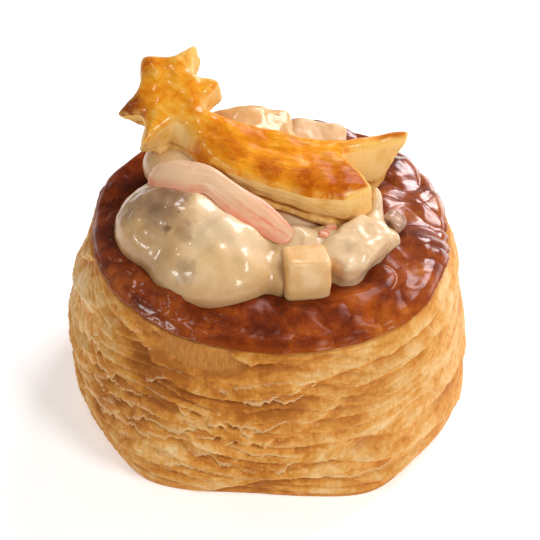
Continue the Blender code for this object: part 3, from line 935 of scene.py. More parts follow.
def leaf_places(builder, place, outward):
    """Points on the wall for the leaves: in a band of heights, and few on the smooth side."""
    given = builder.given
    height = builder.add("ShaderNodeSeparateXYZ", {0: place}, "Z")
    above = builder.compare(height, "GREATER_THAN", given["Lowest"])
    below = builder.compare(height, "LESS_THAN", given["Highest"])
    reach = builder.vector("LENGTH", outward, out="Value")
    beyond = builder.compare(reach, "GREATER_THAN", given["Innermost"])
    band = builder.both(builder.both(above, below), beyond)
    uneven = builder.math("SUBTRACT", 1.0, builder.number_on_mesh("flat_side"))
    density = builder.math("MULTIPLY", builder.math("POWER", uneven, SIDE_THINNING), given["Density"])
    return builder.scatter(band, density)


def leaf_turns(builder, outward):
    """Faces each leaf outwards, stands it upright, and tilts it a little."""
    facing = builder.add("FunctionNodeAlignRotationToVector", {"Vector": outward}, axis="Z")
    upright = builder.add(
        "FunctionNodeAlignRotationToVector", {"Rotation": facing, "Vector": (0, 0, 1)}, axis="Y",
        pivot_axis="Z",
    )
    tilt = builder.random((0.0, 0.0, -LEAF_TILT), (0.0, 0.0, LEAF_TILT))
    return builder.add("FunctionNodeRotateRotation", {0: upright, 1: tilt}, rotation_space="LOCAL")


def pressed_place(builder, place, outward):
    """Each point, ruffled, then put on the drum's form and lifted off it by its own amount."""
    uneven = builder.add("ShaderNodeTexNoise", {"Scale": RUFFLE_SCALE, "Detail": 3.0}, 1)
    centred = builder.vector("SUBTRACT", uneven, (0.5, 0.5, 0.5))
    moved = builder.vector("ADD", place, builder.times(centred, builder.given["Ruffle"]))
    form = builder.add(
        "GeometryNodeObjectInfo", {0: builder.given["Drum"]}, "Geometry", transform_space="ORIGINAL"
    )
    nearest = builder.add(
        "GeometryNodeProximity", {0: form, "Sample Position": moved}, "Position", target_element="FACES"
    )
    lifted = builder.times(builder.vector("NORMALIZE", outward), builder.number_on_mesh("lift"))
    return builder.vector("ADD", nearest, lifted)


def leaf_scatter_tree():
    builder = NodeBuilder(
        "scatter_leaves", Leaves="Collection", Drum="Object", Density="Float", Lowest="Float",
        Highest="Float", Innermost="Float", Ruffle="Float", Seed="Int", Finish="Material",
    )
    place = builder.add("GeometryNodeInputPosition")
    outward = builder.vector("MULTIPLY", place, (1, 1, 0))
    kinds = builder.add(
        "GeometryNodeCollectionInfo", {0: builder.given["Leaves"], 1: True, 2: True},
        transform_space="RELATIVE",
    )
    placed = builder.add("GeometryNodeInstanceOnPoints", {
        "Points": leaf_places(builder, place, outward), "Instance": kinds, "Pick Instance": True,
        "Rotation": leaf_turns(builder, outward), "Scale": builder.random(*LEAF_SCALES),
    })
    solid = builder.add("GeometryNodeRealizeInstances", {0: placed})
    pressed = pressed_place(builder, place, outward)
    return builder.finish(builder.add("GeometryNodeSetPosition", {"Geometry": solid, "Position": pressed}))


def leaf_finish():
    """The same crust, paler towards the torn edge."""
    material, wires, shader = new_finish("loose_leaf", Specular_IOR_Level=0.22)
    place = place_in_mm(wires)
    edge = attribute(wires, "leaf_edge")
    clouds, blotches, fibres, fray = crust_noises(place)
    tone = clouds * 0.70 + blotches * 0.75 + fibres * 0.3 + edge * 0.16 - 0.46 - browning_and_rim_shade(place)
    color = tone.ramp(
        (0.20, CRUST_BROWN), (0.42, CRUST_ORANGE), (0.56, CRUST_GOLD), (0.70, CRUST_PALE), (0.88, CRUST_EDGE)
    )
    torn = (edge + fray * 0.3 - 0.15).between(0.72, 1.0)
    color = (torn * 0.6).mix(color, CRUST_EDGE)
    height = fibres * 0.5 + fray * 0.5
    plug(wires, shader, Base_Color=color, Roughness=0.58 - edge * 0.06, Normal=height.bump(0.35 * MM, 0.6))
    return material


leaf_crust = leaf_finish()
leaves = leaf_scatter_tree().made_on(
    wall, "loose_leaves", Leaves=leaf_templates, Drum=drum, Density=LEAF_DENSITY, Lowest=LEAF_LOWEST,
    Highest=LEAF_HIGHEST, Innermost=LEAF_INNERMOST, Ruffle=LEAF_RUFFLE, Seed=LEAF_SEED, Finish=leaf_crust,
)
for helper in [drum, *leaf_templates.objects]:
    bpy.data.objects.remove(helper)
dressed(leaves, "pastry_case", "baked_pastry", leaf_crust)

# %% [markdown]
# ## The ragout
#
# The cream sauce is thick, so it heaps in scoops that run together. Lobes are joined by a voxel
# remesh and smoothed where they meet. Thin ones at the right make a strand that climbs towards the
# tail, and a drip on the glaze. Low round bumps are pieces just under the surface, and fine noise
# keeps the skin from looking poured from a mould.

# %% Ragout sizes
RAGOUT_LOBES = {
    # name: centre, half-sizes in millimetres, turn about the vertical in degrees
    "plug": ((0, 0, 28), (22, 22, 14), 0),
    "mound": ((-6, 3, 38), (20, 21, 8), 0),
    "scoop_left": ((-18.4, -4.2, 44.6), (14.6, 13.6, 8.8), 24),
    "scoop_front": ((-12.2, -15.2, 42.4), (13.6, 11.4, 7.6), -12),
    "scoop_middle": ((-10.5, -10.0, 44.6), (12.0, 10.0, 7.0), 10),
    "under_star": ((-18, 13, 46), (10, 8, 6), -30),
    "under_tail": ((2, 9, 43.5), (16, 9, 5.5), -5),
    "under_slices": ((3, 20, 41), (15, 9, 5), -5),
    "by_the_cube": ((4.6, -9.8, 42.6), (7.0, 6.4, 5.2), 0),
    "left_of_the_cube": ((2.0, -15.6, 41.2), (4.4, 6.4, 5.0), 0),
    "front_right": ((11.8, -8.0, 39.8), (9.0, 6.4, 5.8), 0),
    "shelf_right": ((18.5, -4.4, 38.8), (8.4, 7.6, 5.2), 30),
    "strand_right": ((22.5, 4.6, 42.2), (1.8, 2.6, 6.2), 0),
    "strand_foot": ((22.2, 0.4, 41.0), (2.6, 4.4, 3.6), 0),
    "drip_right": ((24.2, -4.0, 40.2), (3.8, 3.2, 3.4), 0),
}
RAGOUT_VOXEL = 0.5 * MM
RAGOUT_SMOOTHING = 44
# Pieces just under the skin: x, y, width and height in millimetres
SUNK_PIECES = (
    (-9.7, -11.9, 2.6, 1.6), (-7.0, -15.2, 2.0, 1.3), (-10.6, -18.2, 2.4, 1.3), (-5.4, -18.9, 1.9, 1.2),
    (-13.2, -14.2, 2.0, 0.9), (-4.2, -12.6, 2.0, 0.9), (-14.5, -21.5, 2.6, 0.8), (-21.5, -8.6, 3.2, 1.0),
    (-26.0, -4.0, 2.4, 0.6), (-16.5, -12.5, 1.9, -0.6), (-24.0, -13.5, 2.6, -0.4), (5.6, -9.8, 2.2, 0.8),
    (12.5, -3.0, 2.2, 0.6), (-20.0, -17.5, 2.0, 0.35), (20.0, -2.0, 2.0, 0.5), (-8.0, 22.0, 2.4, 0.7),
    (-28.5, -9.0, 2.2, 0.5), (-8.0, -23.5, 2.2, 0.4),
)
SKIN_WAVES = ((6.0, 0.32), (2.6, 0.18), (1.2, 0.045))  # size and height in millimetres
# Where the sauce skins over and puckers: x, y and radius, then the puckers' sizes and heights
PUCKERED = (-23.0, -7.0, 9.0)
PUCKERS = ((2.1, 0.34), (1.0, 0.14))

# %% Ragout
def lobed_mesh(name, lobes):
    bm = bmesh.new()
    for centre, half_sizes, turn in lobes.values():
        placed = (
            Matrix.Translation(Vector(centre) * MM)
            @ Matrix.Rotation(math.radians(turn), 4, "Z")
            @ Matrix.Diagonal((*(Vector(half_sizes) * MM), 1.0))
        )
        bmesh.ops.create_icosphere(bm, subdivisions=5, radius=1.0, matrix=placed)
    mesh = bpy.data.meshes.new(name)
    bm.to_mesh(mesh)
    bm.free()
    return mesh


def ripple(points, waves, start=0.0):
    """Sums noise of several sizes at points in metres; sizes and heights are in millimetres."""
    total = 0.0
    for size, height in waves:
        x, y, z = (points / (size * MM)).T
        total = total + height * MM * noise_at(x + start, y, z)
    return total


def ragout():
    heap = remeshed("ragout_sauce", lobed_mesh("ragout_sauce", RAGOUT_LOBES), RAGOUT_VOXEL, RAGOUT_SMOOTHING)
    mesh = heap.data
    points = positions(mesh)
    up = np.clip(normals(mesh)[:, 2:], 0, 1)
    rise = ripple(points, SKIN_WAVES)[:, None] * (0.4 + 0.6 * up)
    x, y, reach = np.array(PUCKERED) * MM
    near = np.exp(-(((points[:, 0] - x) ** 2 + (points[:, 1] - y) ** 2) / reach**2))
    rise = rise + (ripple(points, PUCKERS, 3.0) * near)[:, None]
    for x, y, width, height in SUNK_PIECES:
        away = np.hypot(points[:, 0] - x * MM, points[:, 1] - y * MM)[:, None]
        rise = rise + height * MM * np.exp(-((away / (width * MM)) ** 2)) * up
    place_points(mesh, points + normals(mesh) * rise)
    return heap


sauce = ragout()
print("sauce:", len(sauce.data.polygons), "faces")

# %% [markdown]
# Cream sauce lets light in a little way, which softens its shadows, so the shader has some
# subsurface scattering under a wet coat. Painted shade makes it darker and more orange low down and
# on the left. It is yellower at the back. Painted light makes it palest on the scoop's crest and at
# the right, under the tail and between the pieces. The grey at the left is partly a slice of mushroom
# just under the skin and partly painted shadow below the strip's edge. Round masks at fixed places
# paint the light and the grey, and noise breaks the grey ones up.

# %% Sauce finish
SAUCE_DEEP = (0.66, 0.41, 0.18)
SAUCE_CREAM = (0.75, 0.510, 0.250)
SAUCE_LIGHT = (0.93, 0.730, 0.490)
# The next colour is painted shade, for the sauce low down and on the left.
SAUCE_PAINTED_SHADE = (0.54, 0.286, 0.104)  # where it is thin and lies in its own shade
SAUCE_BACK = (0.78, 0.44, 0.16)
SAUCE_GREY = (0.225, 0.117, 0.056)
SAUCE_GLOW = (1.0, 0.6, 0.3)  # how far red, green and blue light spread inside it
# Painted light on the crest of the scoop and on the sauce between the pieces: x, y, radius in millimetres,
# strength
PAINTED_LIGHT_PLACES = ((-8.6, -10.5, 11.0, 0.7), (6.5, -3.5, 8.0, 0.8))
# Grey under the skin, partly a slice of mushroom and partly painted shadow along the strip's lower edge: x,
# y, radius in millimetres, strength
MUSHROOM_AND_SHADOW_GREYS = (
    (-21.4, -7.4, 5.6, 0.85), (-20.0, -1.6, 5.0, 0.95), (-17.6, -13.2, 2.2, 0.55), (-21.6, -13.0, 1.1, 0.95),
    (-28.0, -5.0, 5.0, 0.60), (-24.5, -1.0, 4.5, 0.65), (-17.5, -22.0, 2.6, 0.40), (-23.0, -13.0, 8.0, 0.30),
    (16.0, -12.6, 1.8, 0.2),
)


def spot(place, x, y, radius, softness=0.6):
    """A round mask about an upright axis at x, y."""
    away = place.scaled(1, 1, 0).distance_to(x, y, 0)
    return 1 - away.between(radius * (1 - softness), radius)


def sauce_finish(name, greys):
    material, wires, shader = new_finish(
        name, Subsurface_Weight=0.30, Subsurface_Scale=0.005, Subsurface_Radius=SAUCE_GLOW,
        Coat_Roughness=0.13, Specular_IOR_Level=0.25,
    )
    place = place_in_mm(wires)
    clouds = place.noise(0.12, 3.0, 0.5)
    mottle = place.noise(0.6, 3.0, 0.6)
    color = (clouds * 0.6 + mottle * 0.10 + 0.14).ramp(
        (0.25, SAUCE_DEEP), (0.45, SAUCE_CREAM), (0.70, SAUCE_LIGHT)
    )
    # Painted shade: darker and more orange low down.
    low = 1 - (place.part("Z") + mottle * 3 - 1.5).between(42.0, 50.0)
    color = (low * 0.62).mix(color, SAUCE_PAINTED_SHADE)
    back = place.part("Y").between(12.0, 20.0)
    color = (back * 0.75).mix(color, SAUCE_BACK)
    side = place.part("X")
    # Painted light: paler at the right under the tail, on the scoop's crest and between the pieces.
    painted_light = side.between(10.0, 16.0) * (0.2 + mottle * 0.6)
    for x, y, radius, strength in PAINTED_LIGHT_PLACES:
        painted_light = painted_light + spot(place, x, y, radius, 0.9) * strength
    color = painted_light.at_most(1.0).mix(color, SAUCE_LIGHT)
    # Painted shade on the left, away from the lamps.
    painted_shade_left = 0.45 - side.between(-30.0, -14.0) * 0.45
    color = painted_shade_left.mix(color, SAUCE_PAINTED_SHADE)
    wander = place.noise(0.28, 3.0, 0.6, out=1).scaled(5.0, 5.0, 0.0).plus((-2.5, -2.5, 0.0))
    wandered = place.plus(wander)
    # Grey patches: partly mushroom under the skin, partly painted shadow below the strip.
    for x, y, radius, strength in greys:
        color = (spot(wandered, x, y, radius * 1.25, 0.75) * strength).mix(color, SAUCE_GREY)
    height = place.noise(1.6, 2.0, 0.5) * 0.5 + mottle * 0.8
    plug(
        wires, shader, Base_Color=color, Roughness=0.30 + clouds * 0.12,
        Coat_Weight=0.30 + mottle * 0.5, Normal=height.bump(0.30 * MM, 0.45),
    )
    return material


sauce_skin = sauce_finish("cream_sauce", MUSHROOM_AND_SHADOW_GREYS)
dressed(sauce, "ragout", "cream_sauce", sauce_skin)

# %% [markdown]
# ## The strip of surimi
#
# A long strip lies over the heap, and the sauce is pressed down under it. Its section is a flat oval
# that narrows to both ends. Fine fibres run along it. Its finish follows the strip itself: each
# point keeps how far along and how far across it lies, so the pink edges bend as the strip does.

# %% Strip sizes
STRIP_PATH = (
    (-25.2, 6.0, 50.0), (-22.0, 3.6, 51.9), (-17.6, 1.4, 53.0), (-12.6, -0.2, 53.2), (-7.6, -4.4, 52.2),
    (-2.0, -8.2, 50.1), (4.4, -11.4, 47.2),
)
STRIP_WIDTHS = (5.6, 7.4, 7.6, 6.4, 6.6, 7.0, 5.2)
STRIP_THICKNESS = 2.4 * MM
PRESS_DEPTH = 0.2 * MM
STRIP_FACES_UP = (0.10, -0.55, 1.0)
STRIP_RINGS = 170
STRIP_SIDES = 72

# %% Strip
def surimi_strip():
    stations = np.linspace(0, 1, len(STRIP_PATH))
    along = np.linspace(0, 1, STRIP_RINGS)
    centres = curve_through(along, stations, STRIP_PATH) * MM
    widths = curve_through(along, stations, np.array(STRIP_WIDTHS)[:, None])[:, 0] * MM
    tangents = np.gradient(centres, axis=0)
    steps = 2 * math.pi * np.arange(STRIP_SIDES) / STRIP_SIDES
    across = np.sign(np.cos(steps)) * np.abs(np.cos(steps)) ** 0.8
    rise = np.sign(np.sin(steps)) * np.abs(np.sin(steps)) ** 0.8
    rings = []
    keep = []
    for share, centre, width, tangent in zip(along, centres, widths, tangents):
        forward = Vector(tangent).normalized()
        side = np.array(forward.cross(Vector(STRIP_FACES_UP)).normalized())
        up = np.cross(side, np.array(forward))
        rounded = np.sqrt(np.clip(1 - abs(2 * share - 1) ** 12, 0, 1))
        grooves = 0.07 * noise_at(across * 7, rise * 1.5, share * 3)
        wander = 0.13 * noise_at(across * 1.5, rise * 1.5, share * 7 + 4)
        swell = (1 + grooves + wander) * (0.2 + 0.8 * rounded)
        thin = 1 - 0.45 * max(0.0, 2 * share - 1)
        ring = centre + np.outer(across * swell * width / 2, side)
        ring = ring + np.outer(rise * swell * thin * STRIP_THICKNESS / 2, up)
        rings.append(ring)
        keep.append(np.stack([np.full(STRIP_SIDES, share), across, rise], -1))
    mesh = closed_rings("surimi_strip_fine", np.array(rings), centres[0], centres[-1])
    bm = bmesh.new()
    bm.from_mesh(mesh)
    bmesh.ops.recalc_face_normals(bm, faces=bm.faces)
    bm.to_mesh(mesh)
    bm.free()
    ends = [(0, 0, 0), (1, 0, 0)]
    store(mesh, "strip_place", np.concatenate([np.array(keep).reshape(-1, 3), ends]))
    return add_object("surimi_strip_fine", mesh)


def press_under_strip(obj):
    """Lowers the sauce where the strip lies on it."""
    points = positions(obj.data)
    samples = np.linspace(0, 1, 90)
    stations = np.linspace(0, 1, len(STRIP_PATH))
    path = curve_through(samples, stations, STRIP_PATH) * MM
    widths = curve_through(samples, stations, np.array(STRIP_WIDTHS)[:, None])[:, 0] * MM
    away = np.hypot(points[:, :1] - path[:, 0], points[:, 1:2] - path[:, 1])
    nearest = np.argmin(away, axis=1)
    centre = path[nearest]
    lean = np.array(STRIP_FACES_UP)
    level = centre[:, 2] - ((points - centre)[:, :2] @ lean[:2]) / lean[2] - PRESS_DEPTH
    reach = away[np.arange(len(points)), nearest] / (widths[nearest] / 2)
    weight = 1 - smoothstep(reach, 0.75, 1.2)
    points[:, 2] -= np.maximum(0, points[:, 2] - level) * weight
    place_points(obj.data, points)


strip = surimi_strip()
press_under_strip(sauce)
print("strip:", len(strip.data.polygons), "faces")

# %% Strip finish
SURIMI_PALE = (0.86, 0.57, 0.35)
SURIMI_IVORY = (0.76, 0.49, 0.26)
SURIMI_PINK = (0.84, 0.33, 0.20)
SURIMI_RED = (0.80, 0.17, 0.09)
SURIMI_GLOW = (1.0, 0.45, 0.3)


def strip_pinks(wires, mottle):
    """The strip's fibres, and how pink and how red it is: along its near edge and at both ends."""
    split = attribute(wires, "strip_place", "Vector")
    along = split.part("X")
    across = split.part("Y")
    fibres = split.scaled(5, 9, 1).noise(1.0, 4.0, 0.6)
    bare_middle = along.between(0.44, 0.54) * (1 - along.between(0.58, 0.70))
    near = across.between(0.18, 0.90) * (1 - bare_middle * 0.45)
    far = (across * -1).between(0.45, 1.0)
    lower_end = along.between(0.60, 0.90)
    first_end = 1 - along.between(0.0, 0.16)
    pink = near * 0.95 + far * 0.08 + lower_end * (0.3 + far * 0.6) + first_end * (0.2 + near * 1.2)
    pink = pink * (0.35 + mottle * 1.2) + (fibres - 0.5) * 0.22
    vein = 1 - (across + mottle * 0.7 - 0.45).math("ABSOLUTE").between(0.04, 0.30)
    red = lower_end * vein * fibres.between(0.35, 0.60) * 0.85 + first_end * near * 0.9
    return fibres, pink, red


def slice_pinks(place, mottle):
    """A slice cut across shows its fibres and almost no pink."""
    fibres = place.scaled(1.4, 0.3, 0.3).noise(1.0, 3.0, 0.6)
    return fibres, mottle.between(0.50, 0.75) * 0.12, mottle.between(0.70, 0.9) * 0.1


def surimi_finish(name, pale, strip_like):
    material, wires, shader = new_finish(
        name, Subsurface_Weight=0.3, Subsurface_Scale=0.003, Subsurface_Radius=SURIMI_GLOW,
        Coat_Roughness=0.20, Specular_IOR_Level=0.25,
    )
    place = place_in_mm(wires)
    mottle = place.noise(0.5, 4.0, 0.6, 0.3)
    fibres, pink, red = strip_pinks(wires, mottle) if strip_like else slice_pinks(place, mottle)
    color = pink.math("MAXIMUM", 0.0).at_most(1.0).mix(pale, SURIMI_PINK)
    color = red.at_most(1.0).mix(color, SURIMI_RED)
    height = fibres * 0.7 + mottle * 0.6
    plug(
        wires, shader, Base_Color=color, Roughness=0.40 + mottle * 0.1, Coat_Weight=0.10 + mottle * 0.35,
        Normal=height.bump(0.30 * MM, 0.4),
    )
    return material


dressed(strip, "surimi_strip", "surimi", surimi_finish("surimi_pink_edge", SURIMI_PALE, True))

# %% [markdown]
# ## Cut pieces in the sauce
#
# The dice of potato, the lumps of chicken, the end of a mushroom and a slice of surimi are blocks
# with rounded edges, in the places of their solids. The torn ones get lumpy sides, and the
# mushroom's end is hollow. A fine grid over each lets noise wear the edges.

# %% Piece sizes
CHUNKS = {
    # name: node, centre, half-sizes, turns about X, Y and Z, rounding, waves as (size, height) pairs
    "potato_cube_fine": (
        "potato_cube", (7.4, -17.2, 42.9), (4.8, 4.4, 4.7), (-14, 4, 8), 1.1, ((3.4, 0.28),)
    ),
    "chicken_right_fine": (
        "chicken_piece_right", (17.4, -9.6, 41.9), (8.0, 5.1, 4.4), (4, -6, 48), 2.1,
        ((5.0, 0.6), (2.2, 0.22), (1.1, 0.05)),
    ),
    "mushroom_stub_fine": (
        "mushroom_stub", (25.8, 0.8, 40.9), (2.4, 2.3, 2.9), (0, 35, -20), 1.3, ((2.0, 0.2),)
    ),
    "chicken_back_fine": (
        "chicken_piece_back", (-3.6, 22.0, 47.2), (8.6, 5.8, 5.4), (8, 5, 8), 3.2,
        ((5.0, 1.3), (2.4, 0.2), (1.2, 0.04)),
    ),
    "surimi_back_fine": (
        "surimi_slice_back", (10.0, 22.6, 45.2), (6.2, 5.0, 3.2), (12, 8, -10), 1.5, ((4.0, 0.5), (1.8, 0.15))
    ),
}
LUMPY_ABOVE = 2.0
LUMP_DEPTH = 1.0 * MM
LUMP_SIZE = 4.5 * MM
CHUNK_VOXEL = 0.28 * MM
MUSHROOM_HOLLOW = (24.2, -1.3, 42.2, 1.5, 1.5)  # x, y, z, radius and depth in millimetres

# %% Pieces
def chunk(name, centre, half_sizes, turns, rounding, waves):
    """A block with rounded edges, lumpy where it is torn, on a fine grid."""
    bm = bmesh.new()
    size = Matrix.Diagonal((*(Vector(half_sizes) * 2 * MM), 1.0))
    bmesh.ops.create_cube(bm, size=1.0, matrix=size)
    bmesh.ops.bevel(bm, geom=bm.edges[:], offset=rounding * MM, segments=3, profile=0.5, affect="EDGES")
    torn = rounding > LUMPY_ABOVE
    if torn:
        bmesh.ops.subdivide_edges(bm, edges=bm.edges[:], cuts=2, use_grid_fill=True, smooth=0.4)
        for vertex in bm.verts:
            lump = noise.noise(vertex.co / LUMP_SIZE + Vector(centre))
            vertex.co += vertex.co.normalized() * lump * LUMP_DEPTH
    placed = Matrix.Translation(Vector(centre) * MM)
    for turn, axis in zip(turns[::-1], "ZYX"):
        placed = placed @ Matrix.Rotation(math.radians(turn), 4, axis)
    bmesh.ops.transform(bm, matrix=placed, verts=bm.verts)
    mesh = bpy.data.meshes.new(name)
    bm.to_mesh(mesh)
    bm.free()
    body = remeshed(name, mesh, CHUNK_VOXEL, 12 if torn else 6)
    points = positions(body.data)
    place_points(body.data, points + normals(body.data) * ripple(points, waves, 7.0)[:, None])
    return body


def hollow_out(obj, x, y, z, radius, depth):
    """Pushes the surface in round a point, as the open end of the stem is."""
    points = positions(obj.data)
    away = np.linalg.norm(points - np.array((x, y, z)) * MM, axis=1) / (radius * MM)
    place_points(obj.data, points - normals(obj.data) * (depth * MM * np.exp(-(away**4)))[:, None])


chunks = {name: chunk(name, *values[1:]) for name, values in CHUNKS.items()}
hollow_out(chunks["mushroom_stub_fine"], *MUSHROOM_HOLLOW)
print("pieces:", ", ".join(chunks))

# %% [markdown]
# Boiled potato is a waxy pale yellow in soft patches, and it shines where it is wet. The mushroom's
# end is greyish pink, with painted shade in its hollow. The lumps of chicken wear the sauce's own finish.

# %% Potato and mushroom finishes
# Each has a dark, a middle and a light tone
POTATO_TONES = ((0.76, 0.43, 0.15), (0.82, 0.51, 0.21), (0.88, 0.61, 0.31))
MUSHROOM_TONES = ((0.30, 0.16, 0.095), (0.45, 0.265, 0.17), (0.62, 0.41, 0.28))
PAINTED_HOLLOW_SHADE = (0.10, 0.05, 0.03)


def moist_finish(name, tones, patch, hollow=None):
    """A wet finish of three tones in patches, with painted shade in a hollow."""
    material, wires, shader = new_finish(
        name, Subsurface_Weight=0.2, Subsurface_Scale=0.003, Subsurface_Radius=SAUCE_GLOW,
        Coat_Roughness=0.14, Specular_IOR_Level=0.5,
    )
    place = place_in_mm(wires)
    clouds = place.noise(patch, 3.0, 0.5)
    grain = place.noise(2.2, 3.0, 0.6)
    color = (clouds + grain * 0.1 - 0.05).ramp(*zip((0.34, 0.50, 0.66), tones))
    if hollow:
        x, y, z, radius, _ = hollow
        # Painted shade in the stem's hollow.
        inside = 1 - (place.distance_to(x, y, z) + grain * 0.6).between(radius * 0.7, radius * 1.3)
        color = (inside * 0.9).mix(color, PAINTED_HOLLOW_SHADE)
    plug(
        wires, shader, Base_Color=color, Roughness=0.30 + grain * 0.15, Coat_Weight=0.15 + clouds * 0.35,
        Normal=(grain + clouds).bump(0.25 * MM, 0.35),
    )
    return material


potato = moist_finish("potato", POTATO_TONES, 0.2)
mushroom = moist_finish("mushroom", MUSHROOM_TONES, 0.5, MUSHROOM_HOLLOW)
chicken_skin = sauce_finish("sauce_on_chicken", MUSHROOM_AND_SHADOW_GREYS[-1:])
slice_skin = surimi_finish("surimi_slice", SURIMI_IVORY, False)
CHUNK_LOOKS = {
    "potato_cube_fine": (potato, "potato"), "chicken_right_fine": (chicken_skin, "cream_sauce"),
    "mushroom_stub_fine": (mushroom, "mushroom"), "chicken_back_fine": (chicken_skin, "cream_sauce"),
    "surimi_back_fine": (slice_skin, "surimi"),
}
for name, (look, slot) in CHUNK_LOOKS.items():
    dressed(chunks[name], CHUNKS[name][0], slot, look)

# %% [markdown]
# ## The shooting star
#
# The garnish was cut from rolled puff pastry with a cutter, glazed, and baked flat. It puffed: its top
# domes, and its cut sides show their leaves. The outline, with its corners rounded, is filled to a
# slab on a fine grid. Each point's distance from the outline domes the top, and its height in the
# slab ripples the sides. At a few places the foot of the side moves against the top, so that it
# flares or undercuts. Then the slab is bent along a spine that leans on the heap.

# %% Garnish sizes
# The star's corners: direction in degrees and reach in millimetres
STAR_CORNERS = (
    (50.5, 12.6), (80, 6.9), (95.5, 14.0), (121, 8.6), (152.5, 11.8), (199, 6.4),
    (235, 12.7), (254, 6.2), (278, 13.3), (301, 6.4), (320, 5.4),
)
TAIL_STATIONS = np.array([6.8, 14.0, 24.0, 34.0, 43.2]) * MM
TAIL_NEAR_EDGE = np.array([3.4, 7.8, 9.2, 10.3, 10.6]) * MM
TAIL_FAR_EDGE = np.array([2.4, 3.4, 5.9, 5.8, 7.8]) * MM
TAIL_OUTLINE_POINTS = 9
NEAR_PRONG = (6.7 * MM, -9.0 * MM)
FAR_PRONG = ((9.6 * MM, 6.8 * MM), (9.0 * MM, 10.8 * MM))
NOTCH = (-4.4 * MM, 3.5 * MM)
TIP_ROUNDING = 2.0 * MM
THICKNESS_STATIONS = np.array([0.0, 24.0, 36.0, 48.0]) * MM
THICKNESSES = np.array([7.2, 6.8, 8.8, 12.0]) * MM
GARNISH_DOME = 1.7 * MM
DOME_WIDTH = 4.5 * MM
GARNISH_VOXEL = 0.36 * MM
GARNISH_SMOOTHING = 26
SPINE_STATIONS = np.array([-16.0, 0.0, 10.0, 20.0, 30.0, 40.0, 54.0]) * MM
SPINE_POINTS = np.array([
    (-35.2, 27.8, 63.9), (-21.7, 19.3, 61.5), (-13.3, 13.6, 59.2), (-4.6, 9.2, 56.6),
    (5.2, 7.4, 54.4), (15.2, 7.6, 52.6), (28.6, 11.0, 50.4),
]) * MM
# The flat dough's across direction at each station of the spine
ACROSS = np.array([
    (0.53, 0.75, 0.40), (0.53, 0.75, 0.40), (0.44, 0.84, 0.31), (0.16, 0.96, 0.22),
    (-0.04, 0.98, 0.18), (0.06, 0.99, 0.10), (0.40, 0.91, 0.04),
])
# The foot of the slab moves against its top: where along and across, how far round that, and the
# shift along, across and up
FOOT_SHIFTS = (
    (-8.0, -10.5, 4.5, (2.2, 2.4, 3.4)), (1.0, -12.5, 4.0, (-1.8, 0.2, 0.5)),
    (53.0, 9.5, 4.8, (-3.4, -2.4, 0.0)), (-8.5, 8.0, 5.0, (-0.8, 0.4, 0.0)), (9.5, 9.5, 5.0, (0.9, 0.2, 0.0)),
    (50.0, -10.0, 5.6, (4.8, -2.6, -1.2)), (4.6, -5.0, 4.2, (0.4, -5.0, -0.6)),
    (46.5, 4.0, 4.4, (2.2, -2.6, -3.6)),
)
GROOVE_AT = 0.30  # how high up the cut side the deep groove runs, as a share of its height
SAG = ((8.0, 0.50), (3.2, 0.20))  # uneven puffing: size and height in millimetres
# Blisters on the glaze: along, across, radius, height, all in millimetres
BLISTERS = (
    (-0.5, 4.5, 1.3, 0.40), (2.5, 6.6, 1.0, 0.40), (-2.4, 7.6, 0.9, 0.35), (-4.6, 1.2, 1.2, 0.3),
    (4.6, 2.0, 1.5, 0.35), (28.0, 3.0, 1.2, 0.3), (36.5, 3.6, 1.4, 0.35), (46.0, 5.0, 1.3, 0.3),
    (1.6, 9.4, 0.8, 0.3), (7.0, 5.8, 0.9, 0.3), (42.0, 2.0, 0.9, 0.35),
)

# %% Garnish
def garnish_outline():
    """The cutter's outline in the flat dough: the star's corners, then the tail and its notch."""
    corners = [
        (reach * MM * math.cos(math.radians(angle)), reach * MM * math.sin(math.radians(angle)))
        for angle, reach in STAR_CORNERS
    ]
    along = np.linspace(TAIL_STATIONS[0], TAIL_STATIONS[-1], TAIL_OUTLINE_POINTS)
    near_widths = curve_through(along, TAIL_STATIONS, TAIL_NEAR_EDGE)[:, 0]
    far_widths = curve_through(along, TAIL_STATIONS, TAIL_FAR_EDGE)[:, 0]
    near_edge = list(zip(along, -near_widths))
    far_edge = list(zip(along, far_widths))[::-1]
    end = TAIL_STATIONS[-1]
    tips = [(end + further, across) for further, across in (NEAR_PRONG, NOTCH, *FAR_PRONG)]
    return corners + near_edge + tips + far_edge


def rounded_corners(outline, reach):
    """The outline with each sharp corner replaced by a short curve."""
    corners = np.array(outline)
    result = []
    for before, corner, after in zip(np.roll(corners, 1, axis=0), corners, np.roll(corners, -1, axis=0)):
        back, ahead = before - corner, after - corner
        start = corner + back * min(0.4, reach / np.linalg.norm(back))
        end = corner + ahead * min(0.4, reach / np.linalg.norm(ahead))
        for t in (0.0, 0.33, 0.67, 1.0):
            result.append(tuple((1 - t) ** 2 * start + 2 * t * (1 - t) * corner + t**2 * end))
    return result


def edge_distance(points, outline):
    """How far each flat point is from the outline."""
    nearest = np.full(len(points), np.inf)
    corners = np.array(outline)
    for start, end in zip(corners, np.roll(corners, -1, axis=0)):
        run = end - start
        share = np.clip(((points - start) @ run) / (run @ run), 0, 1)
        away = np.linalg.norm(points - start - share[:, None] * run, axis=1)
        nearest = np.minimum(nearest, away)
    return nearest


